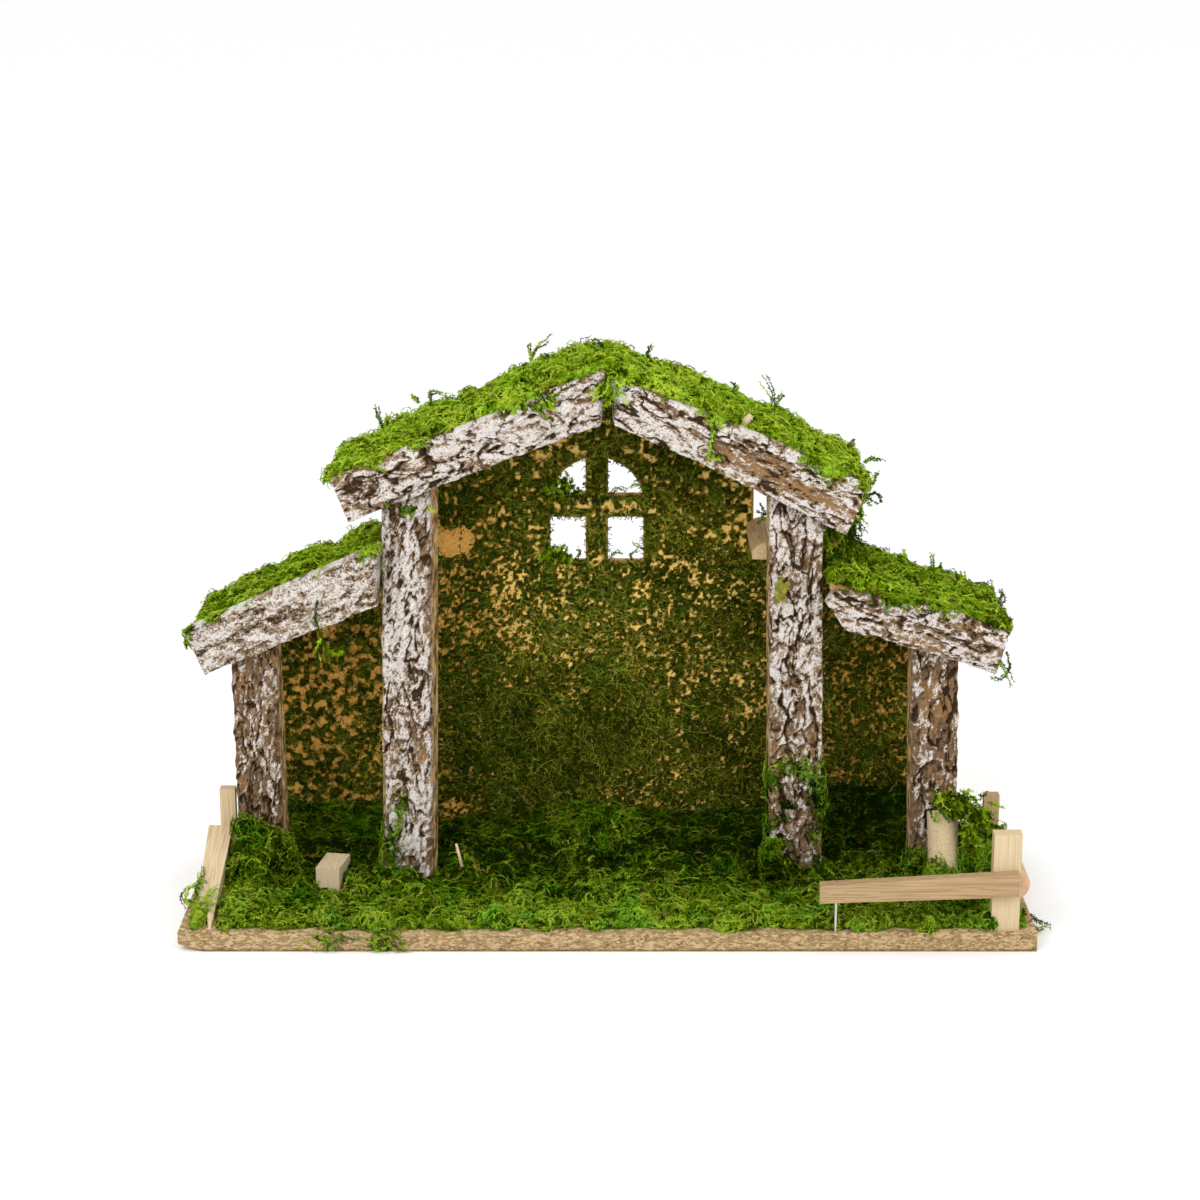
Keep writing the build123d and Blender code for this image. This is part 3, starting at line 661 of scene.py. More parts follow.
# An arched ribbon with saw-tooth sides, and leaves on both
def feather(stems, ups, ways, look, chance):
    count, ribs = stems.shape[:2]
    share = np.linspace(0, 1, ribs)
    depth = chance.random((count, 1, 1))
    low, high = look["lift"]
    rise = look["rise"] * chance.random((count, 1)) * np.sin(share * math.pi * 0.85)
    stems = stems + ups * (low + (high - low) * depth + rise[..., None])
    sides = np.cross(ups, ways)
    tooth = 1 - 0.5 * (np.arange(ribs) % 2)
    half = (look["width"] / 2 * tooth * (1 - 0.75 * share ** 2))[:, None]
    points = [stems - sides * half, stems + ups * look["arch"], stems + sides * half]
    # painted shade: strands lying lower in the layer are darker
    tone = look["tipTone"] * (share - 0.5) + look["depthTone"] * (depth[..., 0] - 0.5)
    # painted highlight along each ribbon's raised middle, painted shade at its edges
    tones = [tone - 0.2, tone + 0.08, tone - 0.2]
    faces = []
    for joint in range(ribs - 1):
        for row in (0, ribs):
            near, far = (row + joint, row + joint + ribs)
            faces.append((near, near + 1, far + 1))
            faces.append((near, far + 1, far))
    used = 3 * ribs
    for joint in range(ribs - 1):
        for hand in (-1, 1) * look["leaves"]:
            part = chance.random((count, 1))
            foot = stems[:, joint] * (1 - part) + stems[:, joint + 1] * part
            way = ways[:, joint]
            long = look["leaf"] * (1.1 - 0.5 * joint / ribs) * chance.uniform(0.7, 1.2, (count, 1))
            lean = chance.uniform(0.2, 0.9, (count, 1))
            perk = chance.uniform(-0.2, 0.6, (count, 1))
            tip = foot + long * (hand * sides[:, joint] * 0.85 + way * lean + ups[:, joint] * perk)
            wide = way * look["leafWidth"] / 2
            points.append(np.stack((foot - wide, foot + wide, tip), 1))
            base = tone[:, joint:joint + 1] + chance.normal(0, 0.1, (count, 1))
            tones.append(np.concatenate((base - 0.15, base - 0.15, base + 0.2), 1))
            faces.append((used, used + 1, used + 2) if hand > 0 else (used + 1, used, used + 2))
            used = used + 3
    faces = np.array(faces)[None] + (np.arange(count) * used)[:, None, None]
    return np.concatenate(points, 1), np.concatenate(tones, 1), faces.reshape(-1, 3)


mostFaces = 190000  # to a piece
lowestStrand = 0.0004  # just off the table


def mossPiece(name, trail, tone, look, paint, chance, *stands):
    jointFaces = 4 + 2 * look["leaves"]
    parts = math.ceil(len(tone) * look["joints"] * jointFaces / mostFaces)
    if parts > 1:
        for part, picked in enumerate(np.array_split(np.arange(len(tone)), parts)):
            some = [side[picked] for side in trail]
            mossPiece(f"{name}_{part}", some, tone[picked], look, paint, chance, *stands)
        return
    points, tones, faces = feather(*trail, look, chance)
    points[..., 1] = np.minimum(points[..., 1], look["back"])
    points[..., 2] = np.maximum(points[..., 2], lowestStrand)
    count, each = tones.shape
    straw = (chance.random(count) < look["straw"]) * chance.uniform(0.4, 1, count)
    values = {"tone": np.clip(tone[:, None] + tones, 0, 1.1).ravel(), "straw": np.repeat(straw, each)}
    mesh = meshOf(name, points.reshape(-1, 3), faces, values)
    cellsAcross = math.ceil(math.sqrt(count))  # each strand has its own square to bake in
    corner = np.stack((np.arange(count) % cellsAcross, np.arange(count) // cellsAcross), -1)
    order = np.arange(each)
    inner = np.stack((0.15 + 0.7 * (order % 3) / 2, 0.15 + 0.7 * (order // 3) / (each // 3)), -1)
    spots = ((corner[:, None] + inner) / cellsAcross).reshape(-1, 2)
    layer = mesh.uv_layers.new(name="OFBake")
    layer.data.foreach_set("uv", spots[faces.ravel()].astype(np.float32).ravel())
    print(name, count, "strands,", len(faces), "faces")
    settle(name, mesh, paint, "moss", *stands)


def combed(spots, way, swing, chance):
    turn = swing * 2 * clumps(spots, 16, 5) + chance.normal(0, 0.5, len(spots))
    turn = turn + math.pi * (chance.random(len(spots)) < 0.4)
    return np.stack((way[0] * np.cos(turn), np.sin(turn), way[1] * np.cos(turn)), -1)


def fanned(turn, deep, high):
    return np.stack((np.cos(turn), deep * np.sin(turn), high * np.sin(turn)), -1)


def mottled(spots, tone, patch, size, stray, chance):
    return tone + patch * clumps(spots, size, 4) + chance.normal(0, stray, len(spots))


def grow(name, tree, spots, headings, tone, look, paint, chance, stands):
    mossPiece(name, creep(tree, spots, headings, look, chance), tone, look, paint, chance, stands)


roofLook = {
    "lump": 0.026, "lumpSize": 15, "sink": 0.0008, "hollow": (-0.0028, -0.0011), "crest": 0.0016,
    "bare": -1, "humps": (), "joints": 5, "leaves": 2, "length": (0.005, 0.013), "bend": 1.2, "curl": 0.5,
    "rise": 0.0025, "lift": (-0.0016, 0.001), "width": 0.0006, "arch": 0.0003, "leaf": 0.0017,
    "leafWidth": 0.0008, "straw": 0.05, "tipTone": 0.3, "depthTone": 1.1, "back": 0.08,
}
edgeLook = {**roofLook, "length": (0.004, 0.009), "rise": 0.001, "count": 350, "overhang": 1600}
wispLook = {
    **roofLook, "length": (0.004, 0.008), "rise": 0.004, "lift": (0, 0.001), "width": 0.0007, "leaf": 0.0019,
    "count": 520,
}
roofPlots = {
    "main_roof_moss_left": {
        "under": "main_rafter_left", "count": 4700, "tone": 0.5, "lap": -0.001,
        "humps": ((-0.047, 0.003, 0.01),),
    },
    "main_roof_moss_right": {"under": "main_rafter_right", "count": 4700, "tone": 0.47, "lap": 0.0},
    "side_roof_moss_left": {"under": "side_rafter_left", "count": 4300, "tone": 0.44, "lap": -0.002},
    "side_roof_moss_right": {"under": "side_rafter_right", "count": 4300, "tone": 0.24, "lap": 0.001},
}
for number, (name, plot) in enumerate(roofPlots.items()):
    chance = np.random.default_rng(100 + number)
    shell = bedPiece(name, {**roofLook, **plot})
    bark = barkShells[plot["under"]]
    along, across = runOf(plot["under"])
    tree = treeOf(shell, bark)
    front = shell[0][:, 1].min() + 0.006
    rim = (bark[0][:, [0, 2]] @ across).max()
    spots = scatter(shell, plot["count"], lambda spot, up: up[:, 2] > -0.3, chance)
    headings = combed(spots, along, 1.2, chance)
    edge = scatter(shell, edgeLook["count"], lambda spot, up: (up[:, 2] > 0.2) * (spot[:, 1] < front), chance)
    lap = scatter(bark, edgeLook["overhang"], lambda spot, up: rim - spot[:, [0, 2]] @ across < 0.008, chance)
    lap = lap[rim - lap[:, [0, 2]] @ across < plot["lap"] + 0.02 * clumps(lap, 13, 6)]
    edge = np.concatenate((edge, lap))
    count = len(edge)
    over = np.stack((chance.normal(0, 0.6, count), -np.ones(count), chance.normal(0, 0.3, count)), -1)
    tone = mottled(spots, plot["tone"] + 0.6 * clumps(spots, 24, 2), 1.2, 6, 0.18, chance)
    grow(name + "_strands", tree, spots, headings, tone, roofLook, roofMoss, chance, name)
    tone = mottled(edge, plot["tone"] - 0.1, 0.8, 8, 0.15, chance)
    grow(name + "_edge", tree, edge, over, tone, edgeLook, roofMoss, chance, name)
    spots = scatter(shell, wispLook["count"], lambda spot, up: up[:, 2] > 0.2, chance)
    tone = mottled(spots, plot["tone"] + 0.1, 0.8, 8, 0.2, chance)
    headings = combed(spots, along, 2, chance)
    grow(name + "_wisps", tree, spots, headings, tone, wispLook, roofMoss, chance, name)

wallFace = 0.0696  # moss stays in front of the wall
floorLook = {
    **roofLook, "lump": 0.022, "lumpSize": 12, "sink": 0.001, "hollow": (-0.003, -0.003), "crest": 0.005,
    "length": (0.004, 0.011), "curl": 0.55, "rise": 0.002, "width": 0.00042, "leaf": 0.0014,
    "leafWidth": 0.0006, "tipTone": 0.35, "back": wallFace, "count": 27000,
}
floorBands = ((-0.09, -0.058), (-0.058, -0.034), (-0.034, 0), (0, 0.09))  # from front to back
chance = np.random.default_rng(200)
floorShell = bedPiece("floor_moss", floorLook)
tree = treeOf(floorShell)
spots = scatter(
    floorShell, floorLook["count"], lambda spot, up: (up[:, 2] > 0.3) + 1.5 * (up[:, 1] < -0.5), chance
)
spots = spots[(spots[:, 0] > -0.195) | (spots[:, 1] > 0.013)]  # none under the plank
for part, (low, high) in enumerate(floorBands):
    picked = spots[(spots[:, 1] >= low) & (spots[:, 1] < high)]
    # painted shade: the tone falls from the front towards the back, under the roof
    tone = mottled(picked, 0.5 - 8.5 * (picked[:, 1] + 0.058), 1.1, 8, 0.17, chance)
    turn = 4 * clumps(picked, 24, 5) + chance.normal(0, 0.6, len(picked))
    turn = turn + math.pi * (chance.random(len(picked)) < 0.5)
    title = f"floor_moss_strands_{part}"
    grow(title, tree, picked, fanned(turn, 0.8, 0), tone, floorLook, floorMoss, chance, "floor_moss")

# A dark bank climbs the wall's foot; its darkness is painted shade that deepens towards the wall
bankLook = {**floorLook, "rise": 0.005, "length": (0.007, 0.016), "lift": (-0.0008, 0.002), "count": 7000}
across, down = np.meshgrid(np.linspace(-0.187, 0.175, 240), np.linspace(0, 1, 12), indexing="ij")
acrossMm = across * toMm
tall = 5 + 6 * layered(acrossMm / 16, acrossMm * 0 + 3.5, 4, 3)
tall = tall + 15 * ease(acrossMm, 105, 120) + 5 * ease(acrossMm, -100, -120)
tall = tall - 7 * np.exp(-(((acrossMm + 84) / 13) ** 2)) + 5 * np.exp(-(((acrossMm + 6) / 24) ** 2))
uneven = 5 * (layered(acrossMm / 7, down * 4, 6, 3) - 0.5) * ease(down, 0, 0.2)
bankMm = (acrossMm, 69.4 - 26 * down, 13.4 + tall * (1 - down) ** 1.4 + uneven * (1 - down))
bankPoints = np.stack(bankMm, -1).reshape(-1, 3) / toMm
bankShell = (bankPoints, np.concatenate(netFaces(*across.shape, otherSplit)))
settle("bank_bed", meshOf("bank_bed", *bankShell, {}, True), bedMaterial, "moss", "floor_moss")
chance = np.random.default_rng(250)
spots = scatter(bankShell, bankLook["count"], lambda spot, up: 1.0 + (spot[:, 2] > 0.016), chance)
# painted shade: the tone falls towards the wall
tone = mottled(spots, -0.06 + 5 * (0.07 - spots[:, 1]), 0.5, 9, 0.14, chance)
tone = tone - 0.16 * ease(spots[:, 0], 0.105, 0.12) - 0.1 * ease(spots[:, 0], 0.02, 0.04)
tone = tone + 0.16 * np.exp(-(((spots[:, 0] + 0.008) / 0.022) ** 2))
turn = math.tau * chance.random(len(spots))
headings = fanned(turn, 0, 0.8)
grow("bank_strands", treeOf(bankShell), spots, headings, tone, bankLook, floorMoss, chance, "floor_moss")

cushionLook = {
    **floorLook, "lump": 0.045, "sink": 0.002, "hollow": (-0.009, -0.009), "rise": 0.004,
    "lift": (-0.001, 0.002), "bare": -0.1,
}
cushions = {
    "left_post_moss": {"count": 2300, "tone": 0.3, "by": "short_post_left"},
    "right_post_moss": {"count": 1200, "tone": 0.12, "by": "tall_post_right", "bare": 0.05},
    "fence_moss": {"count": 1900, "tone": 0.35, "by": "short_post_right"},
    "floor_mound_moss": {"count": 1500, "tone": 0.25, "by": "tall_post_left"},
}
for number, (name, plot) in enumerate(cushions.items()):
    chance = np.random.default_rng(300 + number)
    shell = bedPiece(name, {**cushionLook, **plot})
    tree = treeOf(shell, floorShell, barkShells[plot["by"]])
    spots = scatter(shell, plot["count"], lambda spot, up: up[:, 2] > -0.2, chance)
    tone = mottled(spots, plot["tone"], 0.9, 9, 0.18, chance)
    headings = fanned(math.tau * chance.random(len(spots)), 1, 0) + (0, 0, -0.6)
    grow(name + "_strands", tree, spots, headings, tone, cushionLook, floorMoss, chance, name)

# Patches that climb what stands on the floor: low and high corners in millimetres
patchLook = {
    **floorLook, "length": (0.005, 0.012), "lift": (-0.0004, 0.0014), "count": 400, "tries": 60, "tone": 0.35,
    "cover": 0.1, "peak": 0,
}
patches = {
    "plank_moss": {
        "on": "left_fence_plank", "low": (-212, -64, 10), "high": (-203, -16, 34), "count": 600, "tone": 0.75,
        "cover": 0.15,
    },
    "billet_moss": {
        "on": "leaning_billet", "low": (160, -30, 10), "high": (186, 3, 40), "count": 700, "tone": 0.5,
    },
    "tall_right_moss": {
        "on": "tall_post_right", "low": (78, -9, 10), "high": (116, 14, 76), "count": 430, "tone": 0.27,
        "cover": 0.13, "peak": 0.45,
    },
    "tall_left_moss": {
        "on": "tall_post_left", "low": (-121, -9, 10), "high": (-108, 14, 80), "count": 160, "tone": 0.4,
        "cover": 0.08, "peak": 0.3,
    },
    "short_left_moss": {"on": "short_post_left", "low": (-197, -9, 10), "high": (-164, 14, 30)},
    "short_right_moss": {"on": "short_post_right", "low": (150, -9, 10), "high": (188, 14, 34)},
    "base_moss_left": {
        "on": "base_board", "low": (-148, -71, 5), "high": (-133, -66, 10.1), "count": 420, "tone": 0.6,
        "cover": 2,
    },
    "base_moss_right": {
        "on": "base_board", "low": (-119, -71, 3), "high": (-103, -66, 10.1), "count": 420, "tone": 0.6,
        "cover": 2,
    },
}
for number, (name, plot) in enumerate(patches.items()):
    chance = np.random.default_rng(500 + number)
    plot = {**patchLook, **plot}
    shell = barkShells.get(plot["on"]) or solidOf(plot["on"])
    low = np.array(plot["low"]) / toMm
    high = np.array(plot["high"]) / toMm
    spots = scatter(shell, plot["tries"] * plot["count"], lambda spot, up: up[:, 1] < 0.5, chance)
    reach = (spots[:, 2] - low[2]) / (high[2] - low[2])
    level = 0.5 * np.abs(reach - plot["peak"]) - plot["cover"]
    inside = np.all((spots > low) & (spots < high), 1) & (clumps(spots, 12, 6) > level)
    spots = spots[inside][:plot["count"]]
    tone = mottled(spots, plot["tone"], 0.8, 9, 0.16, chance)
    headings = chance.normal(0, 1, (len(spots), 3)) + (0, -0.4, -0.8)
    grow(name, treeOf(shell, floorShell), spots, headings, tone, patchLook, floorMoss, chance, "floor_moss")

# The wall has a thin felt with gaps where the board shows, and flakes and fibres on it
wallLook = {
    "joints": 2, "leaves": 1, "length": (0.002, 0.0046), "bend": 0.9, "curl": 0.3, "rise": 0.0008,
    "lift": (-0.0014, 0.0002), "width": 0.0008, "arch": 0.0002, "leaf": 0.001, "leafWidth": 0.0007,
    "straw": 0.09, "tipTone": 0.3, "depthTone": 0.5, "back": wallFace, "count": 42000, "rimCount": 900,
}
fibreLook = {
    **wallLook, "joints": 5, "leaves": 0, "length": (0.006, 0.018), "bend": 1.0, "width": 0.00045,
    "lift": (-0.0006, 0.0006), "count": 6500,
}


def hump(x, z, middle, size):
    return np.exp(-(((x - middle[0]) / size[0]) ** 2) - ((z - middle[1]) / size[1]) ** 2)


# One inside a ragged round patch
def ragged(x, z, middle, size, fray, sheet):
    away = np.hypot((x - middle[0]) / size[0], (z - middle[1]) / size[1])
    fine = size[2]
    return ease(away + fray * (layered(x / fine, z / fine, sheet, 2) - 0.5), 1.05, 0.85)


# Above zero where the board shows
def gapOf(spots):
    x, y, z = spots.T * toMm
    level = 0.605 + 0.04 * ease(z, 90, 50) + 0.04 * ease(z, 190, 215)
    level = level + 0.06 * ease(x, -40, -75) * ease(z, 185, 200) + 0.22 * hump(x, z, (-25, 62), (55, 36))
    level = level + 0.055 * hump(x, z, (68, 146), (34, 24)) + 0.03 * hump(x, z, (-48, 128), (20, 18))
    level = level - 0.065 * ease(x, -112, -122) - 0.02 * ease(x, 112, 122)
    size = 1.45 + 0.9 * (x < -115)
    small = layered(x / size, z / size, 2, 2)
    speck = small + ease(z, 168, 186) * (layered(x / 2.3, z / 2.3, 4, 2) - small)
    speck = speck + 0.3 * (layered(x / 18, z / 15, 5, 2) - 0.5)
    bare = ragged(x, z, (-84, 176), (13, 8, 6), 0.8, 3)
    low = ragged(x, z, (-85, 24), (9, 6, 4), 1.2, 1)
    return speck - level + 0.6 * bare + 0.22 * low


chance = np.random.default_rng(400)
wallShell = solidOf("wall_moss")
wallTree = treeOf(wallShell)


# True where the wall is behind, and not a pane
def backed(spots):
    rays = [wallTree.ray_cast(Vector((x, 0, z)), Vector((0, 1, 0)))[0] for x, y, z in spots.tolist()]
    return np.array([hit is not None for hit in rays])


feltStep = 0.00085
feltSkin = 0.0003  # in front of the board
wallLow = wallShell[0].min(0)
wallHigh = wallShell[0].max(0)
columns = np.arange(wallLow[0], wallHigh[0], feltStep)
rows = np.arange(wallLow[2], wallHigh[2], feltStep)
x, z = np.meshgrid(columns, rows, indexing="ij")
felt = np.stack((x, 0 * x + wallHigh[1] - feltSkin, z), -1)
held = backed((felt[:-1, :-1] + felt[1:, 1:]).reshape(-1, 3) / 2)
faces = np.concatenate([half[held] for half in netFaces(*x.shape, firstSplit)])
used, faces = np.unique(faces, return_inverse=True)
felt = felt.reshape(-1, 3)[used]
values = {
    "gap": gapOf(felt),
    # painted shade towards the foot of the wall
    "paintedLowShade": ease(felt[:, 2], 0.1, 0.03),
    "pale": ease(felt[:, 0], -0.075, -0.04) * ease(felt[:, 0], 0.12, 0.1),
}
feltMesh = meshOf("wall_felt", felt, faces.reshape(-1, 3), values)
settle("wall_felt", feltMesh, feltMaterial, "moss", "wall_moss")
print("wall_felt", len(faces) // 3, "faces")


def wallSpots(count, swing):
    spots = scatter(wallShell, count, lambda spot, up: up[:, 1] < -0.9, chance)
    turn = 5 * clumps(spots[:, [0, 2, 1]], 30, 4) + swing * chance.normal(0, 1, count)
    return spots, fanned(turn, 0, 1)


def wallTone(spots):
    flat = spots[:, [0, 2, 1]]
    rough = clumps(flat, 7, 4) + 0.8 * clumps(flat, 26, 3)
    # painted shade: the tone drops towards the foot of the wall
    return 0.42 - 0.1 * ease(spots[:, 2], 0.13, 0.03) + chance.normal(0, 0.2, len(spots)) + 0.6 * rough


stems, ups, ways = creep(None, *wallSpots(wallLook["count"], 3), wallLook, chance)
clear = np.all([gapOf(stems[:, joint]) < -0.01 for joint in (0, 1, -1)], 0)
keep = clear | (chance.random(len(stems)) < 0.06)
bands = np.digitize(stems[:, 0, 2], (0.08, 0.15))
for band in range(3):
    picked = keep & (bands == band)
    trail = (stems[picked], ups[picked], ways[picked])
    mossPiece(f"wall_moss_{band}", trail, wallTone(stems[picked, 0]), wallLook, wallMoss, chance, "wall_moss")
stems, ups, ways = creep(None, *wallSpots(fibreLook["count"], 0.5), fibreLook, chance)
clear = np.mean([gapOf(stems[:, joint]) < 0 for joint in range(0, 6, 2)], 0) > 0.6
picked = clear & (chance.random(len(stems)) < 0.35 + 0.65 * ease(stems[:, 0, 2], 0.17, 0.12))
picked = picked & backed(stems[:, 3]) & backed(stems[:, -1])
trail = (stems[picked], ups[picked], ways[picked])


def byWindow(spot, up):
    return (np.abs(up[:, 1]) < 0.3) * (np.abs(spot[:, 0]) < 0.05) * (spot[:, 2] > 0.15)


rim = scatter(wallShell, wallLook["rimCount"], byWindow, chance)
rim[:, 1] = wallLow[1]
headings = fanned(math.tau * chance.random(len(rim)), 0, 1)
rimTrail = creep(None, rim, headings, wallLook, chance)
mossPiece("window_rim", rimTrail, wallTone(rim), wallLook, wallMoss, chance, "wall_moss")
mossPiece("wall_fibres", trail, wallTone(trail[0][:, 0]) + 0.02, fibreLook, wallMoss, chance, "wall_moss")

# Loose tufts: middle, spread, heading and length in millimetres
tuftLook = {**roofLook, "lift": (0, 0.0006), "bend": 0.9, "curl": 0.4, "width": 0.0009, "leaf": 0.0016}
tufts = {
    "ridge_tuft": {
        "at": (1, -5, 278), "spread": (3, 2.5, 2), "heading": (0, 0, -1), "length": (5, 13), "count": 90,
        "stray": 0.5, "tone": 0.55, "stands": "main_roof_moss_left",
    },
    "eave_tuft": {
        "at": (121, 36, 202), "spread": (4.5, 14, 10), "heading": (0, 0, -1), "length": (6, 13), "count": 300,
        "stray": 1.5, "tone": 0.2, "stands": "main_roof_moss_right",
    },
    "post_top_tuft": {
        "at": (-105, -9.4, 214), "spread": (6, 0.4, 1.4), "heading": (1, 0, 0), "length": (3, 6), "count": 14,
        "stray": 0, "tone": 0.1, "stands": "main_roof_moss_left",
    },
    "rafter_tuft": {
        "at": (-33, -9.6, 268), "spread": (4, 0.4, 2), "heading": (1, 0, 0), "length": (3, 6), "count": 24,
        "stray": 0, "tone": 0.5, "stands": "main_roof_moss_left",
    },
    "pane_bush": {
        "at": (-28, 68.5, 168.5), "spread": (3.5, 0.4, 2.5), "heading": (0.5, 0, 0.6), "length": (2, 5),
        "count": 70, "stray": 0.2, "tone": 0.1, "stands": "wall_moss",
    },
    "pane_vine": {
        "at": (-27, 68.5, 206), "spread": (4, 0.4, 2.5), "heading": (0.6, 0, 0.4), "length": (2, 5),
        "count": 60, "stray": 0.2, "tone": 0.1, "stands": "wall_moss",
    },
    "fence_tuft": {
        "at": (190, -10, 46), "spread": (3.4, 4, 6), "heading": (0.2, -0.3, -0.6), "length": (4, 9),
        "count": 300, "stray": 1.2, "tone": 0.3, "stands": "fence_moss",
    },
    "billet_tuft": {
        "at": (177, -9, 58), "spread": (5, 2, 3), "heading": (0.6, -0.2, -0.5), "length": (4, 9),
        "count": 150, "stray": 1, "tone": 0.35, "stands": "fence_moss",
    },
    "bark_tuft": {
        "at": (88, -4, 170), "spread": (1.2, 0.4, 3.5), "heading": (0, 0, -1), "length": (2, 5), "count": 16,
        "stray": 0, "tone": 0.6, "straw": 1, "stands": "main_roof_moss_right",
    },
}
for number, (name, tuft) in enumerate(tufts.items()):
    chance = np.random.default_rng(600 + number)
    look = {**tuftLook, "length": tuple(side / toMm for side in tuft["length"])}
    look["straw"] = tuft.get("straw", tuftLook["straw"])
    spots = (np.array(tuft["at"]) + chance.normal(0, 1, (tuft["count"], 3)) * tuft["spread"]) / toMm
    headings = chance.normal(0, 0.35, spots.shape) + tuft["heading"]
    trail = creep(None, spots, headings, look, chance)
    trail[0][..., 1] += np.cumsum(chance.normal(0, tuft["stray"] / toMm, trail[0].shape[:2]), 1)
    tone = tuft["tone"] + chance.normal(0, 0.2, len(spots))
    mossPiece(name, trail, tone, look, roofMoss, chance, tuft["stands"])


# Single sprigs follow drawn paths of x and z at one depth
sprigRibs = 8
sprigCopies = 3


def drawn(depth, paths, chance):
    stems = []
    for path in paths:
        flat = np.array(path)
        share = np.linspace(0, len(flat) - 1, sprigRibs)
        order = np.arange(len(flat))
        x = np.interp(share, order, flat[:, 0])
        z = np.interp(share, order, flat[:, 1])
        for copy in range(sprigCopies):
            drift = np.cumsum(chance.normal(0, 0.35, (sprigRibs, 3)), 0)
            stems.append((np.stack((x, 0 * x + depth, z), -1) + drift) / toMm)
    stems = np.array(stems)
    return stems, np.zeros_like(stems) + (0, -1, 0), unit(np.gradient(stems, axis=1))


sprigLook = {**tuftLook, "straw": 0, "rise": 0, "width": 0.0007, "leaf": 0.0015}
fineSprig = {**sprigLook, "width": 0.0004, "leaf": 0.0011, "leafWidth": 0.0006}
sprigs = {
    "left_roof_sprigs": ("main_roof_moss_left", 45, (
        ((-39.2, 278.3), (-39.7, 283), (-40.2, 287.2)),
        ((-39.2, 279.9), (-36.6, 284.1), (-33, 287.2), (-29.4, 290.8)),
        ((-116.1, 243.7), (-118, 249.5), (-119, 255.3)), ((-114.5, 244.3), (-113.4, 249.5)),
        ((-90.6, 254.3), (-91.5, 260.1), (-90.9, 262.7), (-87.3, 263.2), (-83.2, 261.6)),
        ((-143.1, 220.9), (-146.3, 218.8), (-148.5, 214.5)), ((-96.7, 256.9), (-99.7, 260.1)),
        ((-1.7, 285.1), (-4.8, 288.7), (-8.9, 288.2)),
    )),
    "right_roof_sprigs": ("main_roof_moss_right", 45, (
        ((84.1, 252.7), (85.5, 259.5), (83.4, 264.8), (79.7, 270)),
        ((86.2, 252.7), (87.6, 258), (90.7, 261.1)), ((88.2, 253.7), (90.8, 252.7), (95, 249)),
        ((133.4, 225.2), (137.5, 226.8), (142.8, 225.7)), ((135.3, 212.9), (138.9, 214.5), (139.8, 219.9)),
        ((134.9, 206.5), (138.5, 208.7), (141.7, 207.6), (142.8, 203.8)),
        ((132.1, 195.8), (132.5, 201.7), (134.9, 206.5)), ((22, 276.8), (20.4, 282), (23, 285.6)),
        ((46.8, 265.3), (50.4, 269), (54, 267.9)), ((64.9, 260.1), (67.4, 264.2), (66.4, 266.3)),
        ((124.9, 232.6), (127.4, 236.9)),
    )),
    "lean_to_sprigs": ("side_roof_moss_right", 30, (
        ((170.4, 167.4), (169.2, 173.8), (169, 180.2)), ((170.9, 170), (172.8, 174.9)),
        ((154.6, 176.5), (152.9, 180.8)), ((181, 163), (184.5, 166.8), (183.3, 170)),
        ((204.8, 152.8), (206.7, 157.1), (205, 160.4)),
    )),
    "eave_curl": ("side_roof_moss_right", -9.5, (
        ((202.8, 138.5), (205.1, 131), (203.3, 125.7), (199.3, 123), (196.2, 125.1)),
        ((198.9, 134.2), (202.1, 129.9), (205.5, 121.4)),
    )),
    "left_rafter_sprigs": ("side_roof_moss_left", -9.5, (
        ((-146.4, 165.9), (-148.7, 157.5), (-146.9, 149), (-143.6, 140.6), (-141.3, 129.9)),
        ((-145, 144.8), (-148.2, 138.5), (-146.4, 132.1)),
        ((-143.1, 141.6), (-139.1, 137.4), (-135, 138.5)),
    )),
    "right_rafter_sprigs": ("main_roof_moss_right", -9.5, (
        ((52.4, 257.7), (53.5, 251.6), (52, 245.5), (51.6, 238.4)),
        ((50.6, 242.5), (52.6, 239.4), (55.1, 240.9)), ((52.9, 253.6), (51.5, 247.5), (49.6, 240.4)),
    )),
    "window_sprigs": ("wall_moss", 68.5, (
        ((-29.7, 206.4), (-25.5, 208.6), (-20.7, 211.3)), ((-29.2, 203.1), (-23.4, 205.9), (-18.1, 206.9)),
        ((-15.9, 202.6), (-19.1, 207.5), (-21.8, 210.2)), ((-25, 202.6), (-23.9, 207.5), (-20.2, 204.8)),
        ((-12.8, 203.7), (-15.4, 206.4), (-18.1, 203.7)), ((-29.9, 168.1), (-27.2, 171.9), (-26.1, 175.2)),
        ((-29.4, 166.4), (-25.1, 170.3), (-21.4, 168.6)), ((-16.6, 166.4), (-14.4, 170.3), (-16, 172.5)),
        ((2.1, 166.4), (4.8, 170.8), (8.5, 169.7)), ((13.3, 166.4), (12.3, 170.3), (16, 172.5)),
        ((20.2, 173), (16.5, 174.7), (14.4, 177.4)), ((2.1, 202.6), (5.8, 206.4), (10, 204.8)),
        ((19, 205.9), (15.3, 207.5), (12.1, 205.3)),
    )),
    "gap_sprigs": ("wall_moss", 40, (
        ((77.4, 200.2), (81.6, 198.1), (84.7, 200.2), (88.4, 198.1)),
        ((78, 193.8), (82.1, 197), (86.3, 194.9)), ((79.4, 204.5), (81.6, 199.7), (79.6, 195.4)),
    )),
    "plank_loops": ("floor_moss", -40, (
        ((-209.4, 24.3), (-214.6, 22.1), (-216.8, 17.8), (-214.5, 12.9)),
        ((-211.9, 14.5), (-215.9, 15.6), (-215.2, 20)),
    )),
    "edge_sprigs": ("floor_moss", -45, (
        ((215, 9.4), (220.2, 6.7), (226, 4)), ((214.2, 5.6), (218.4, 1.8), (222.5, 2.9)),
    )),
}
for number, (name, (stands, depth, paths)) in enumerate(sprigs.items()):
    chance = np.random.default_rng(700 + number)
    trail = drawn(depth, paths, chance)
    tone = 0.4 + chance.normal(0, 0.2, len(trail[0]))
    look = fineSprig if stands == "wall_moss" else sprigLook
    mossPiece(name, trail, tone, look, roofMoss, chance, stands)
print("moss grown")


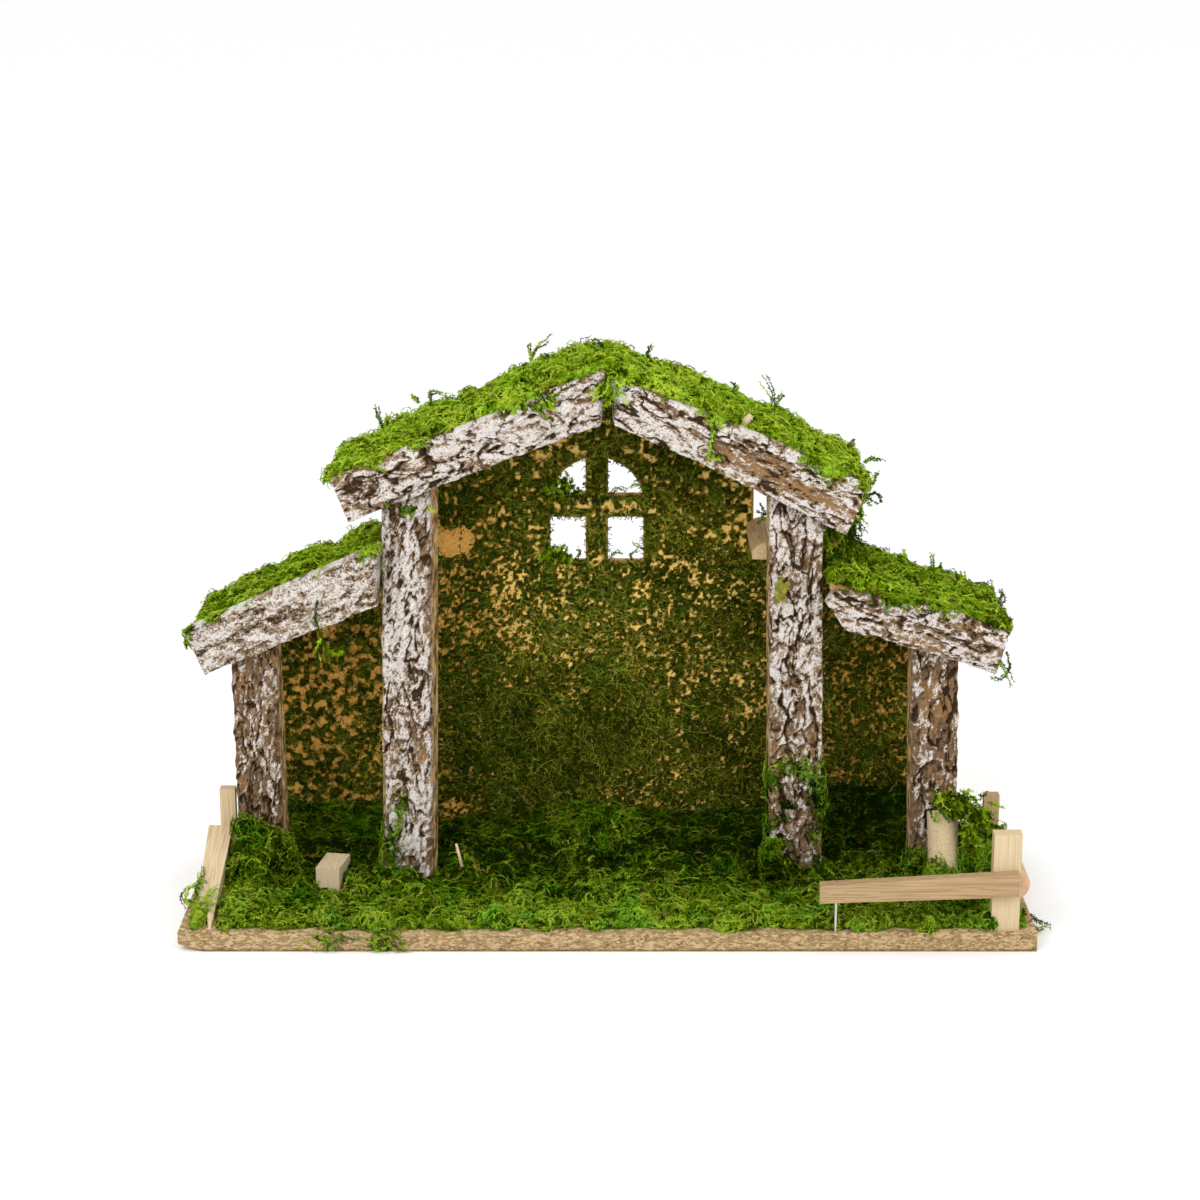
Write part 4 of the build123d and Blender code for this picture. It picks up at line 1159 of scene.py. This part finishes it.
# Boards, sticks and nails keep their solids
paleWood = (colour(0.66, 0.52, 0.33), colour(0.52, 0.38, 0.2))
tanWood = (colour(0.47, 0.32, 0.16), colour(0.34, 0.215, 0.095))
railWood = (colour(0.45, 0.305, 0.16), colour(0.29, 0.18, 0.08))
blockWood = (colour(0.7, 0.56, 0.37), colour(0.5, 0.37, 0.21))
strutWood = (colour(0.56, 0.41, 0.22), colour(0.4, 0.27, 0.13))
pinkWood = (colour(0.66, 0.4, 0.26), colour(0.54, 0.31, 0.18))
boards = (
    (chipboard, "chipboard", ("base_board",)),
    (hardboard, "hardboard", ("back_wall", "main_roof_left", "main_roof_right")),
    (hardboard, "hardboard", ("side_roof_left", "side_roof_right")),
    (steel, "steel", ("rail_pin", "post_nails", "wall_nails")),
)
sticks = {
    "eave_strut_left": ("strutLeft", (220, 14, 220), tanWood),
    "eave_strut_right": ("strutRight", (220, 14, 220), strutWood),
    "left_fence_post": ("leftPost", (460, 460, 8), paleWood),
    "left_fence_plank": ("leftPlank", (260, 9, 26), paleWood),
    "right_fence_front_post": ("frontPost", (620, 500, 6), paleWood),
    "right_fence_rear_post": ("rearPost", (460, 460, 8), tanWood),
    "right_fence_front_rail": ("frontRail", (7, 520, 520), railWood),
    "right_fence_side_rail": ("sideRail", (260, 10, 260), pinkWood),
    "floor_block": ("block", (900, 40, 900), blockWood),
    "leaning_billet": ("billet", (400, 400, 20), paleWood),
}
wornEdge = {"width": 0.0006, "segments": 2}


def dress(name, look):
    solid = nodes[name]
    solid.data.materials.clear()
    solid.data.materials.append(look)
    return solid


for look, slot, names in boards:
    for name in names:
        dress(name, look)
for name, (title, stretch, wood) in sticks.items():
    solid = dress(name, material(title, pineRecipe(stretch, *wood)))
    worn = solid.modifiers.new("worn", "BEVEL")
    worn.width = wornEdge["width"]
    worn.segments = wornEdge["segments"]

# Slivers of wood: both ends and the thickness in millimetres
slivers = {
    "roof_peg": {"ends": ((65.4, 6, 250.8), (71.8, 2, 258.4)), "thick": 3.6},
    "straw_stick": {"ends": ((-74.9, -20, 26), (-77.9, -18, 37.9)), "thick": 1.5},
    "plank_wedge": {"ends": ((-208.5, 10, 35.6), (-199, 10, 33.2)), "thick": 2.6},
}
for name, sliver in slivers.items():
    first, last = np.array(sliver["ends"]) / toMm
    way = unit(last - first)
    side = unit(np.cross(way, (0, 1, 0))) * sliver["thick"] / 2 / toMm
    deep = np.cross(way, side)
    ring = [side + deep, side - deep, -side - deep, -side + deep]
    points = np.array([first + step for step in ring] + [last + 0.8 * step for step in ring])
    faces = [(0, 2, 1), (0, 3, 2), (4, 5, 6), (4, 6, 7)]
    for corner in range(4):
        after = (corner + 1) % 4
        faces += [(corner, after, after + 4), (corner, after + 4, corner + 4)]
    sliverPine = material(name, pineRecipe((300, 300, 300), *paleWood))
    settle(name, meshOf(name, points, np.array(faces)[:, ::-1], {}), sliverPine, "pine")
print("boards painted")


# Floor, light and camera
floorReach = 30
floorMesh = bpy.data.meshes.new("floor")
corners = [(floorReach * a, floorReach * b, 0) for a, b in ((-1, -1), (1, -1), (1, 1), (-1, 1))]
floorMesh.from_pydata(corners, [], [(0, 1, 2, 3)])
floorMesh.materials.append(material("floor", floorRecipe))
floor = bpy.data.objects.new("floor", floorMesh)
scene.collection.objects.link(floor)

world = bpy.data.worlds.new("studio")
scene.world = world
world.use_nodes = True
world.node_tree.nodes.clear()
air = Ink(world.node_tree)
height = air.add("SeparateXYZ", {}, {0: air.add("TexCoord", output="Generated")}, 2)
glow = height.ease(0.0, 0.9).mix(colour(0.5, 0.5, 0.5), colour(1.25, 1.25, 1.25))
air.add("OutputWorld", {}, {"Surface": air.add("Background", {}, {"Color": glow, "Strength": 1.0})})

lampAim = Vector((0, 0, 0.12))
lamps = {
    "key": {"at": (-0.7, -1.3, 1.2), "size": 0.8, "power": 12},
    "fill": {"at": (0.9, -1.2, 0.8), "size": 0.9, "power": 5},
}
for name, lamp in lamps.items():
    light = bpy.data.lights.new(name, "AREA")
    light.size = lamp["size"]
    light.energy = lamp["power"]
    holder = bpy.data.objects.new(name, light)
    holder.location = lamp["at"]
    holder.rotation_euler = (lampAim - Vector(lamp["at"])).to_track_quat("-Z", "Y").to_euler()
    scene.collection.objects.link(holder)

cameraLook = {"lens": 81, "film": 36, "near": 0.05, "far": 100, "at": (-0.00375, -1.326, 0.531), "tilt": 74.5}
lens = bpy.data.cameras.new("camera")
lens.lens = cameraLook["lens"]
lens.sensor_width = cameraLook["film"]
lens.clip_start = cameraLook["near"]
lens.clip_end = cameraLook["far"]
camera = bpy.data.objects.new("camera", lens)
camera.location = cameraLook["at"]
camera.rotation_euler = (math.radians(cameraLook["tilt"]), 0, 0)
scene.collection.objects.link(camera)
scene.camera = camera
scene.view_settings.view_transform = "Standard"
print("stage set")
